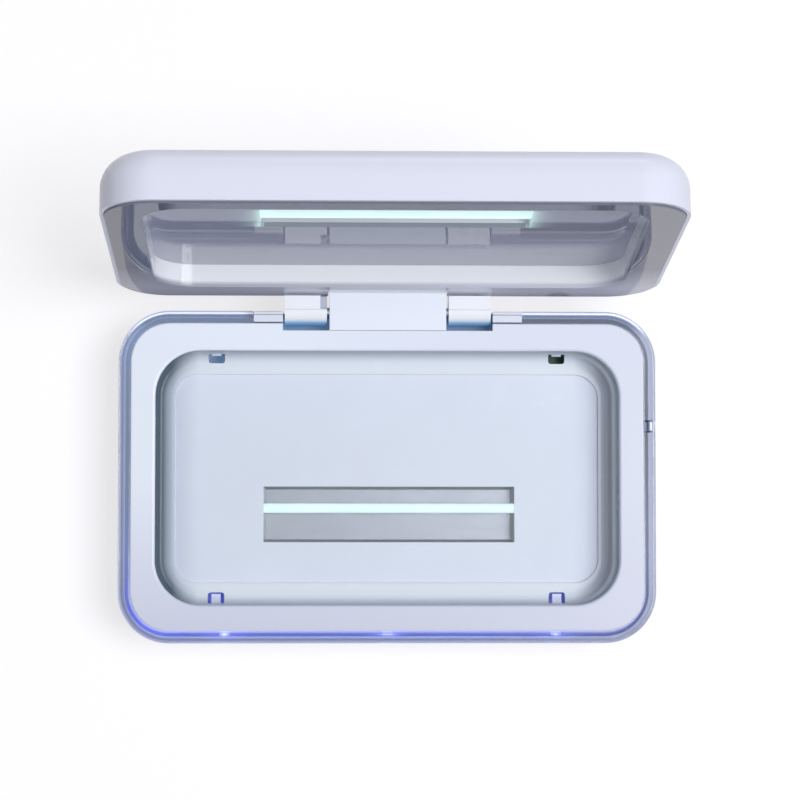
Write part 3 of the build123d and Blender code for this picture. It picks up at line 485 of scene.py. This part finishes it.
def panel_tone(n, deep):
    """Painted light and shade: rim and ceiling painted grey as shade and dark reflection, both painted
    paler low down as light, walls painted whiter where light falls, and a strip over the hinge painted
    with the arms' reflection.
    """
    height, x = n.along(LID_UP, AXIS), n.axis("X")
    low_rim_light = n.product(n.fall(height, *RIM_FADES), n.spread(x, RIM_LEFT_SHARE, 1.0, *RIM_LEFT))
    hinge_reflection = n.product(n.fall(n.absolute(x), *HINGE_ENDS), n.fall(height, *OVER_HINGE_ENDS))
    rim = n.between(hinge_reflection, n.between(low_rim_light, PANEL_RIM, PANEL_RIM_LOW), PANEL_HINGE_REFLECTION)
    ceiling = n.between(n.fall(height, *FACE_FADES), PANEL_FACE, PANEL_FACE_LOW)
    face = n.between(n.rise(deep, *RIM_ENDS), rim, ceiling)
    window = n.product(
        n.fall(n.absolute(n.along(LID_UP, WINDOW)), *WINDOW_ENDS_D),
        n.fall(n.absolute(n.along(TO_RIGHT, WINDOW)), *WINDOW_ENDS_W),
    )
    upright = n.fall(n.absolute(n.facing(LID_IN)), *UPRIGHT)
    walls = n.product(upright, n.rise(deep, *WALL_STARTS), n.opposite(window))
    tone = n.between(walls, face, PANEL_LIT_WALL)
    return n.between(n.product(window, n.rise(deep, *IN_WINDOW)), tone, WINDOW_EDGE)


def panel_light(n, deep):
    """The lamp's light on the ceiling beside the window's ends, and on the window's own short sides."""
    beyond = n.math("SUBTRACT", n.absolute(n.along(TO_RIGHT, WINDOW)), WINDOW_HALF_W)
    outside = n.rise(beyond, *OUTSIDE_STARTS)
    level = n.fall(n.absolute(n.along(LID_UP, WINDOW)), *SPILL_LEVEL)
    spill = n.product(
        n.decay(n.product(beyond, SPILL_LOSS)), SPILL, level, n.rise(deep, *NEAR_CEILING),
        n.fall(deep, *PAST_CEILING), outside,
    )
    side = n.product(
        n.rise(beyond, *SIDE_BAND_STARTS), n.rise(deep, *IN_WINDOW), n.opposite(outside)
    )
    fade = n.spread(n.along(LID_UP, WINDOW), WINDOW_LIT_LOW, 1.0, -WINDOW_HALF_D, 0.0)
    return n.total(n.product(side, LAMP_SHOWN, fade), spill)


def lid_panel(name):
    """Glossy panel painted grey as shade, with the lamp's light painted round its window's ends."""
    n = Nodes(name)
    deep = n.along(LID_IN, RIM_PLANE)
    gloss = n.spread(n.noise(scale=120.0), *PANEL_GLOSS)
    shader = n.principled(base_color=panel_tone(n, deep), roughness=gloss, ior=1.6)
    n.glow(shader, PANEL_GLOW, panel_light(n, deep))
    return n.finish(shader.outputs["BSDF"])


# ---------------------------------------------------------------- the tray
# Painted shade, reflection and highlights from the mouth's edge towards the middle of the floor
TRAY_LEFT_SHADE = stops(
    (0.0, (96, 112, 124)), (0.22, (76, 91, 105)), (0.42, (104, 118, 132)), (0.62, (154, 166, 182)),
    (0.85, (180, 190, 206)), (1.0, (202, 210, 224)),
)
TRAY_PLAIN_SHADE = stops(
    (0.0, (186, 196, 210)), (0.3, (208, 218, 230)), (0.6, (222, 230, 241)), (1.0, (226, 233, 243)),
)
TRAY_RIGHT_SHADE_AND_HIGHLIGHT = stops(
    (0.04, (170, 186, 196)), (0.12, (172, 190, 202)), (0.20, (206, 218, 228)), (0.28, (246, 250, 254)),
    (0.36, (226, 231, 240)), (0.44, (190, 194, 210)), (0.60, (190, 194, 212)), (0.76, (172, 180, 196)),
    (0.92, (182, 188, 202)), (1.0, (206, 212, 226)),
)
TRAY_TONED = (-0.5, 5.5)
TRAY_RIGHT_TONED = (0.0, 6.5)
TRAY_END, TRAY_MIDDLE = 5, 14  # from the mouth's left and right edges: all of the end's tone, and none
TRAY_DEEP, TRAY_SUNK = 20, 2.1  # so far under the deck, the right end counts as so much further in
TRAY_GLOSS = (0.24, 0.28)


def chamber_plastic(name):
    """Glossy tray of the chamber: pale floor painted darker near the mouth's edge as shade, and darker,
    greener walls at its two ends painted as shade and reflection, with a painted highlight along the
    right end.
    """
    n = Nodes(name)
    inset, x = n.inset(mouth_plan, MOUTH_R), n.axis("X")
    left = n.fall(x, TRAY_END - MOUTH_HALF, TRAY_MIDDLE - MOUTH_HALF)
    right = n.rise(x, MOUTH_HALF - TRAY_MIDDLE, MOUTH_HALF - TRAY_END)
    sunk = n.spread(n.axis("Z"), 0.0, TRAY_SUNK, DECK, DECK - TRAY_DEEP)
    depth = n.rise(inset, *TRAY_TONED)
    right_depth = n.rise(n.total(inset, sunk), *TRAY_RIGHT_TONED)
    tone = n.between(right, n.ramp(depth, TRAY_PLAIN_SHADE), n.ramp(right_depth, TRAY_RIGHT_SHADE_AND_HIGHLIGHT))
    tone = n.between(left, tone, n.ramp(depth, TRAY_LEFT_SHADE))
    gloss = n.spread(n.noise(scale=90.0), *TRAY_GLOSS)
    shader = n.principled(base_color=tone, roughness=gloss, specular_ior_level=0.2)
    return n.finish(shader.outputs["BSDF"])


# ---------------------------------------------------------------- the ring and its closing blocks
# Painted light and shade across the ring, from its rim at 0 to the deck at 1: bright lines as painted
# highlights, dark bands as painted shade
RING_LEFT_SHADING = stops(
    (0.0, (234, 234, 232)), (0.17, (222, 222, 224)), (0.25, (160, 162, 176)), (0.35, (152, 157, 176)),
    (0.46, (186, 193, 212)), (0.62, (206, 214, 230)), (0.88, (200, 208, 226)), (1.0, (226, 231, 244)),
)
RING_RIGHT_SHADING = stops(
    (0.0, (226, 226, 222)), (0.18, (176, 176, 178)), (0.30, (176, 176, 180)), (0.44, (196, 197, 202)),
    (0.62, (186, 187, 192)), (0.80, (222, 223, 232)), (0.92, (244, 246, 252)), (1.0, (250, 251, 255)),
)
RING_REAR_SHADING = stops(
    (0.0, (250, 252, 255)), (0.25, (246, 249, 255)), (0.31, (112, 124, 140)), (0.50, (116, 128, 146)),
    (0.66, (160, 170, 188)), (1.0, (158, 166, 186)),
)
BLOCK_TONES = stops(
    (0.0, (236, 240, 250)), (0.25, (236, 240, 250)), (0.29, (158, 166, 186)), (0.34, (158, 166, 186)),
    (0.40, (224, 229, 244)), (0.90, (224, 229, 244)), (0.97, (150, 158, 176)),
)
RING_CLEAR = srgb(238, 242, 252)
RIGHT_STARTS = (30.0, 80.0)  # where the right's tones take over from the left's
REAR_STARTS = (REAR - 9, REAR - 4)  # and the rear's from both

# The diodes' blue light
RING_GLOW = 0.37
RING_HAZE = 0.04
RING_BAND = tuple((place, (level,) * 3) for place, level in (
    (0.0, 0.0), (0.30, 0.03), (0.46, 0.05), (0.62, 0.12), (0.80, 0.40), (0.90, 0.75), (1.0, 1.0),
))
RING_BLUES = (
    (0.0, (0.50, 0.66, 0.95)), (0.22, (0.18, 0.28, 1.0)), (0.5, (0.20, 0.24, 1.0)),
    (0.75, (0.66, 0.62, 1.0)), (1.0, (0.80, 0.78, 1.0)),
)
HAZE_STARTS = (0.3, 0.6)
FRONT_FADES = (FRONT, FRONT + 62)
FRONT_POWER = 4.0
GLOW_EASES, GLOW_AT_RIGHT = (40.0, RIGHT), 0.10
SPOT_WARMTH = 1.4  # how soon a spot turns from blue to violet
FRONT_LINE = FRONT + 2.9
RING_SPOTS = (  # place across, place in depth, width, depth, strength
    (-54.0, FRONT_LINE, 1.1, 0.6, 0.38), (55.8, FRONT_LINE, 1.1, 0.6, 0.44),
    (0.0, FRONT_LINE, 4.4, 0.5, 0.34), (-54.0, FRONT_LINE, 7.0, 1.4, 0.14),
    (55.8, FRONT_LINE, 7.0, 1.4, 0.12),
)

# Pale light painted on the clear plastic as highlights along its rim, sides, rear, hem and right
PALE_HIGHLIGHT = (0.88, 0.92, 1.0)
RIM_LIGHT, RIM_LIGHT_REAR, RIM_LIGHT_ENDS = 0.04, 0.24, (0.20, 0.28)
SIDE_LIGHT, SIDE_LIGHT_X = (0.04, 0.07), (0.0, RIGHT - 6)
SIDE_STARTS = (FRONT + 6, FRONT + 30)
REAR_LIGHT = 0.05
HEM_LIGHT, HEM_STARTS = 0.30, (0.90, 0.98)
RIGHT_LIGHT, RIGHT_LIGHT_STARTS, FAR_RIGHT = 0.16, (0.93, 0.99), (80.0, 100.0)
TOP_FACES = (0.5, 0.8)
OTHER_FACES = 0.08  # share of the glow on faces that don't look up
NEVER_ZERO = 0.001


def ring_across(n):
    """Place across the ring, 0 at its rim and 1 at the deck."""
    return n.math("DIVIDE", n.inset(base_plan, BODY_R), RING_W)


def ring_glow(n, shader, across, rear):
    """Light from the diodes behind the ring: strong along the front and fading up the sides, with pale
    highlights painted as glow.
    """
    x, y = n.axis("X"), n.axis("Y")
    front = n.fall(y, *FRONT_FADES)
    to_right = n.spread(x, 1.0, GLOW_AT_RIGHT, *GLOW_EASES)
    falloff = n.product(n.math("POWER", front, FRONT_POWER), to_right)
    band = n.product(falloff, n.ramp(across, RING_BAND), RING_GLOW)
    haze = n.product(n.rise(across, *HAZE_STARTS), RING_HAZE, to_right)
    spots = n.total(*(n.product(n.blob(*spot), strength) for *spot, strength in RING_SPOTS))
    warm = n.math("MINIMUM", n.product(spots, SPOT_WARMTH), 1.0)
    blue = n.ramp(n.total(n.product(falloff, 0.5), n.product(warm, 0.5)), RING_BLUES)
    side = n.product(n.rise(y, *SIDE_STARTS), n.opposite(rear))
    painted_highlights = n.total(
        n.product(n.fall(across, *RIM_LIGHT_ENDS), n.total(n.product(rear, RIM_LIGHT_REAR), RIM_LIGHT)),
        n.product(side, n.spread(x, *SIDE_LIGHT, *SIDE_LIGHT_X)),
        n.product(rear, REAR_LIGHT),
        n.product(n.spread(across, 0.0, HEM_LIGHT, *HEM_STARTS), front),
        n.product(n.spread(across, 0.0, RIGHT_LIGHT, *RIGHT_LIGHT_STARTS), side, n.rise(x, *FAR_RIGHT)),
    )
    light = n.total(band, haze, spots, painted_highlights)
    share = n.math("DIVIDE", painted_highlights, n.total(light, NEVER_ZERO))
    faces = n.spread(n.facing(UPWARD), OTHER_FACES, 1.0, *TOP_FACES)
    n.glow(shader, n.between(share, blue, PALE_HIGHLIGHT), n.product(light, faces))


def lit_ring(n, shader):
    """Painted highlights and shade across the clear ring, from its rim to the deck, as the tone it lets
    through, and its glow.
    """
    across, rear = ring_across(n), n.rise(n.axis("Y"), *REAR_STARTS)
    ring_glow(n, shader, across, rear)
    right = n.rise(n.axis("X"), *RIGHT_STARTS)
    sides = n.between(right, n.ramp(across, RING_LEFT_SHADING), n.ramp(across, RING_RIGHT_SHADING))
    return n.between(rear, sides, n.ramp(across, RING_REAR_SHADING))


def framed_block(n, shader):
    """Thin dark seams along the ring's closing blocks, where the ring's steps run on."""
    return n.ramp(ring_across(n), BLOCK_TONES)


# ---------------------------------------------------------------- the base's inside
CAVITY_GLOW = 0.26
CAVITY_BLUE, CAVITY_BACK_BLUE = (0.08, 0.09, 0.62), (0.10, 0.21, 0.30)
CAVITY_SIDE_STARTS = (WALL - 0.4, WALL - 0.1)
CAVITY_FLOOR_STARTS = (FLOOR_Z - 0.4, FLOOR_Z - 0.1)
CAVITY_BACK_STARTS = (MIDDLE - 38, MIDDLE - 4)
BACK_RIGHT_LOSS, BACK_RIGHT_FADES = 0.75, (0.0, 40.0)  # at the back, less towards the right
CAVITY_AT_RIGHT, CAVITY_RIGHT_FADES = 0.35, (50.0, 80.0)  # all along, what is left at the right
# Painted shade and blue light on the hinge pocket's white walls
POCKET_SHADE = srgb(132, 160, 194)
POCKET_GLOW = 0.05
POCKET_SIDES = (POCKET_HALF + 0.2, POCKET_HALF + 0.6)
POCKET_FRONT = (POCKET_Y - 0.6, POCKET_Y - 0.2)
POCKET_LOW = (DECK - 16, DECK - 15)
POCKET_REAR = (REAR - 0.4, REAR - 0.2)


def lit_cavity(n, shader):
    """The diodes' blue light painted inside the base and in the hinge's pocket, whose walls are painted
    a darker blue as shade and that light.
    """
    x, y, z = n.axis("X"), n.axis("Y"), n.axis("Z")
    inner = n.rise(n.inset(base_plan, BODY_R), *CAVITY_SIDE_STARTS)
    above = n.rise(z, *CAVITY_FLOOR_STARTS)
    pocket = n.product(
        n.fall(n.absolute(x), *POCKET_SIDES), n.rise(y, *POCKET_FRONT),
        n.rise(z, *POCKET_LOW), n.fall(y, *POCKET_REAR),
    )
    back = n.rise(y, *CAVITY_BACK_STARTS)
    weight = n.opposite(n.product(back, n.spread(x, 0.0, BACK_RIGHT_LOSS, *BACK_RIGHT_FADES)))
    right = n.spread(x, 1.0, CAVITY_AT_RIGHT, *CAVITY_RIGHT_FADES)
    cavity = n.product(inner, above, weight, right, CAVITY_GLOW)
    blue = n.between(back, CAVITY_BLUE, CAVITY_BACK_BLUE)
    n.glow(shader, blue, n.total(cavity, n.product(pocket, POCKET_GLOW)))
    return n.between(pocket, WHITE, POCKET_SHADE)


# ---------------------------------------------------------------- the deck and the hinge's arms
# Painted shade: the deck darker towards its front and its right, with a faint random drift of tone
DECK_REAR = srgb(234, 241, 255)
DECK_RIGHT_SHADE = srgb(206, 211, 231)
DECK_FRONT_SHADE = srgb(203, 208, 230)
DECK_DRIFT = 0.02
DECK_RIGHT_SHARE, DECK_RIGHT_STARTS = 0.75, (-40.0, RIGHT)
HOOK_GLOW, HOOK_ENDS = 0.06, (DECK - 6, DECK - 4)
HOOK_BLUES = ((0.1, 0.2, 0.8), (0.14, 0.30, 0.80))


def lit_hooks(n, shader):
    """The diodes' light painted on the hooks below the deck, and a deck painted darker at its front and
    its right as shade.
    """
    x, y, z = n.axis("X"), n.axis("Y"), n.axis("Z")
    below = n.fall(z, *HOOK_ENDS)
    n.glow(shader, n.between(below, *HOOK_BLUES), n.product(below, HOOK_GLOW))
    drift = n.spread(n.noise(scale=9.0, detail=1.0), -DECK_DRIFT, DECK_DRIFT, *NEARLY_ALL)
    front = n.math("ADD", n.fall(y, FRONT, MIDDLE), drift, clamp=True)
    right = n.spread(x, 0.0, DECK_RIGHT_SHARE, *DECK_RIGHT_STARTS)
    return n.between(right, n.between(front, DECK_REAR, DECK_FRONT_SHADE), DECK_RIGHT_SHADE)


ARM_WHITE = srgb(244, 248, 255)
# Painted blue light and shade on the knuckles, and painted shade along the fold and in the groove
ARM_BLUE_LIGHT_AND_SHADE = srgb(150, 200, 240)
ARM_FOLD_SHADE = srgb(206, 214, 230)
ARM_GROOVE_SHADE = srgb(186, 190, 206)
GROOVE_X = -22.4
GROOVE_LEFT, GROOVE_RIGHT = (GROOVE_X - 0.15, GROOVE_X), (0.0, 1.0)
GROOVE_FRONT = (AXIS_Y + 0.6, AXIS_Y + 0.9)
KNUCKLE_LOW, KNUCKLE_FRONT = (DECK - 2.4, DECK - 0.9), (AXIS_Y - 3.7, AXIS_Y - 2.4)
FOLD_Y, FOLD_ENDS, FOLD_SHARE = AXIS_Y + 0.5, (0.12, 0.24), 0.6


def blue_below(n, shader):
    """Painted light and shade: the diodes' blue light and shade on the knuckles in their pocket,
    painted shade along a fold's faint line and in the wire's groove.
    """
    x, y, z = n.axis("X"), n.axis("Y"), n.axis("Z")
    low = n.product(n.fall(z, *KNUCKLE_LOW), n.fall(y, *KNUCKLE_FRONT))
    fold = n.spread(n.absolute(n.math("SUBTRACT", y, FOLD_Y)), FOLD_SHARE, 0.0, *FOLD_ENDS)
    groove = n.product(n.rise(x, *GROOVE_LEFT), n.fall(x, *GROOVE_RIGHT), n.rise(y, *GROOVE_FRONT))
    tone = n.between(fold, n.between(low, ARM_WHITE, ARM_BLUE_LIGHT_AND_SHADE), ARM_FOLD_SHADE)
    return n.between(groove, tone, ARM_GROOVE_SHADE)


# ---------------------------------------------------------------- a material for each node
white_shell = moulded("white_shell", 0.30, WHITE)
white_base = moulded("white_base", 0.30, dress=lit_cavity)
white_deck = moulded("white_deck", 0.28, dress=lit_hooks)
strip_board = moulded("strip_board", 0.40, srgb(84, 92, 158))
white_trim = moulded("white_trim", 0.22, TRIM_WHITE)
ring_block = moulded("ring_block", 0.22, dress=framed_block)
white_arm = moulded("white_arm", 0.22, dress=blue_below)
glossy_panel = lid_panel("glossy_panel")
bright_liner = chamber_plastic("bright_liner")
pan_metal = lit_pan("pan_metal")
pin_steel = brushed_metal("pin_steel", 0.25, (0.60, 0.61, 0.63))
screw_steel = brushed_metal("screw_steel", 0.32, (0.50, 0.50, 0.52))
ring_clear = clear_solid("ring_clear", 0.05, 1.49, RING_CLEAR, dress=lit_ring)
quartz = clear_solid("quartz", 0.02, 1.46, srgb(252, 253, 255))
tube_lit = lit_tube("tube_lit")
holder_rubber = rubber("holder_rubber", srgb(222, 222, 220))
foot_rubber = rubber("foot_rubber", srgb(168, 170, 176))
lead_cover = rubber("lead_cover", srgb(226, 226, 226))
circuit_board = board_green("circuit_board")
black_plastic = moulded("black_plastic", 0.38, (0.018, 0.018, 0.02))
winding_tape = moulded("winding_tape", 0.35, (0.75, 0.52, 0.06))
led_lens = lit_lens("led_lens")

FINISHES = {
    "base_shell": white_base, "lid_shell": white_shell, "deck_frame": white_deck,
    "ring_end_left": ring_block, "ring_end_right": ring_block, "hinge_block": white_trim,
    "hinge_arm_left": white_arm, "hinge_arm_right": white_arm, "switch_plunger": white_trim,
    "lid_liner": glossy_panel, "chamber_liner": bright_liner, "light_ring": ring_clear,
    "quartz_plate": quartz, "lower_reflector": pan_metal, "upper_reflector": pan_metal,
    "lower_lamp": tube_lit, "upper_lamp": tube_lit, "lower_lamp_holders": holder_rubber,
    "upper_lamp_holders": holder_rubber, "lower_lamp_lead": lead_cover, "upper_lamp_lead": lead_cover,
    "main_board": circuit_board, "led_strip": strip_board, "lamp_inverter": winding_tape,
    "status_leds": led_lens, "power_inlet": black_plastic, "lid_switch": black_plastic,
    "hinge_pin": pin_steel, "block_screws": screw_steel, "case_screws": screw_steel,
    "arm_screws": screw_steel, "rubber_feet": foot_rubber,
}
for name, material in FINISHES.items():
    nodes[name].data.materials.clear()
    nodes[name].data.materials.append(material)


# ---------------------------------------------------------------- edges
EDGE_ROUNDS = {
    "hinge_block": 0.25, "hinge_arm_left": 0.22, "hinge_arm_right": 0.22, "ring_end_left": 0.15,
    "ring_end_right": 0.15, "deck_frame": 0.15, "chamber_liner": 0.12, "lid_liner": 0.15,
    "lid_shell": 0.12, "base_shell": 0.12, "switch_plunger": 0.08, "power_inlet": 0.15,
    "rubber_feet": 0.2, "lower_reflector": 0.1, "upper_reflector": 0.1, "light_ring": 0.15,
    "quartz_plate": 0.15,
}
CLEAR_NODES = ("light_ring", "quartz_plate")
CLEAR_GAP = 0.03  # clear pieces stand this far inside their solid, so that no two faces lie together
WELD_REACH = 0.0005
FLAT_WITHIN = math.radians(0.3)
SHARP_FROM = math.radians(32)
FACE_WEIGHT = 60
EDGE_SEGMENTS = 2


def round_edges(node, radius):
    """Joins a solid's faces along their edges and rounds its sharp edges by a small radius."""
    joined = node.modifiers.new("weld", "WELD")
    joined.merge_threshold = WELD_REACH * MM
    flat = node.modifiers.new("flat_faces", "DECIMATE")
    flat.decimate_type = "DISSOLVE"
    flat.angle_limit = FLAT_WITHIN
    bevel = node.modifiers.new("edge_rounds", "BEVEL")
    bevel.width = radius * MM
    bevel.segments = EDGE_SEGMENTS
    bevel.limit_method = "ANGLE"
    bevel.angle_limit = SHARP_FROM
    bevel.miter_outer = "MITER_ARC"
    smooth = node.modifiers.new("face_normals", "WEIGHTED_NORMAL")
    smooth.keep_sharp = False
    smooth.weight = FACE_WEIGHT


for name, radius in EDGE_ROUNDS.items():
    round_edges(nodes[name], radius)
for name in CLEAR_NODES:
    shrink = nodes[name].modifiers.new("clear_gap", "DISPLACE")
    shrink.mid_level = 0.0
    shrink.strength = -CLEAR_GAP * MM


# ---------------------------------------------------------------- floor, light and camera, in metres
FLOOR_HALF = 1.5
FLOOR_COLOUR = (0.38, 0.37, 0.40)
FLOOR_GLOW = 0.67  # what is added where the floor is seen, so that it looks white
WORLD_LIGHT = 0.25  # as the world lights things; it looks white
LIGHTS = (  # name, place, target, size, power
    ("key", (1.10, -0.02, 2.40), (0, 0, 0), 1.30, 47.0),
    ("fill", (-1.20, 0.20, 2.20), (0, 0, 0), 1.30, 4.0),
    ("behind", (0.30, 2.10, 0.05), (0, 0, 0.05), 0.90, 6.5),
    ("low_front", (0.20, -2.40, 0.30), (0, 0, 0.02), 0.90, 8.0),
)
LENS, SENSOR, CLIP = 124.29, 36.0, (0.05, 20.0)
EYE_TURN = (0.0514, -0.0324, 0.0019)
EYE = (-25.697 * MM, MID_Y - 21.629 * MM, DECK_Z + 915.493 * MM)


def placed(name, data):
    """An object in the scene with a mesh, a light or a camera."""
    item = bpy.data.objects.new(name, data)
    bpy.context.scene.collection.objects.link(item)
    return item


def make_floor():
    mesh = bpy.data.meshes.new("floor")
    corners = [(x * FLOOR_HALF, y * FLOOR_HALF, 0) for x, y in ((-1, -1), (1, -1), (1, 1), (-1, 1))]
    mesh.from_pydata(corners, [], [(0, 1, 2, 3)])
    floor = placed("floor", mesh)
    n = Nodes("floor")
    diffuse = n.add("ShaderNodeBsdfDiffuse")
    n.put(FLOOR_COLOUR, diffuse.inputs["Color"])
    glow = n.add("ShaderNodeEmission")
    n.put((1, 1, 1), glow.inputs["Color"])
    n.link(n.product(n.seen(), FLOOR_GLOW), glow.inputs["Strength"])
    both = n.add("ShaderNodeAddShader")
    n.link(diffuse.outputs["BSDF"], both.inputs[0])
    n.link(glow.outputs["Emission"], both.inputs[1])
    floor.data.materials.append(n.finish(both.outputs["Shader"]))


def make_world():
    world = bpy.data.worlds.new("studio")
    bpy.context.scene.world = world
    world.use_nodes = True
    n = NodeTree(world.node_tree)
    background = n.add("ShaderNodeBackground")
    n.put((1, 1, 1), background.inputs["Color"])
    n.link(n.spread(n.seen(), WORLD_LIGHT, 1.0, 0.0, 1.0), background.inputs["Strength"])
    output = n.add("ShaderNodeOutputWorld")
    n.link(background.outputs["Background"], output.inputs["Surface"])


def area_light(name, place, target, size, power):
    light = bpy.data.lights.new(name, "AREA")
    light.shape = "SQUARE"
    light.size = size
    light.energy = power
    lamp = placed(name, light)
    lamp.location = place
    lamp.rotation_euler = (Vector(target) - Vector(place)).to_track_quat("-Z", "Y").to_euler()


def make_camera():
    """Nearly straight above the tray, level with the photograph's framing."""
    camera = bpy.data.cameras.new("camera")
    camera.lens = LENS
    camera.sensor_width = SENSOR
    camera.clip_start, camera.clip_end = CLIP
    eye = placed("camera", camera)
    eye.rotation_mode = "ZYX"
    eye.rotation_euler = EYE_TURN
    eye.location = EYE
    bpy.context.scene.camera = eye


make_floor()
make_world()
for light in LIGHTS:
    area_light(*light)
make_camera()
bpy.context.scene.view_settings.view_transform = "Standard"
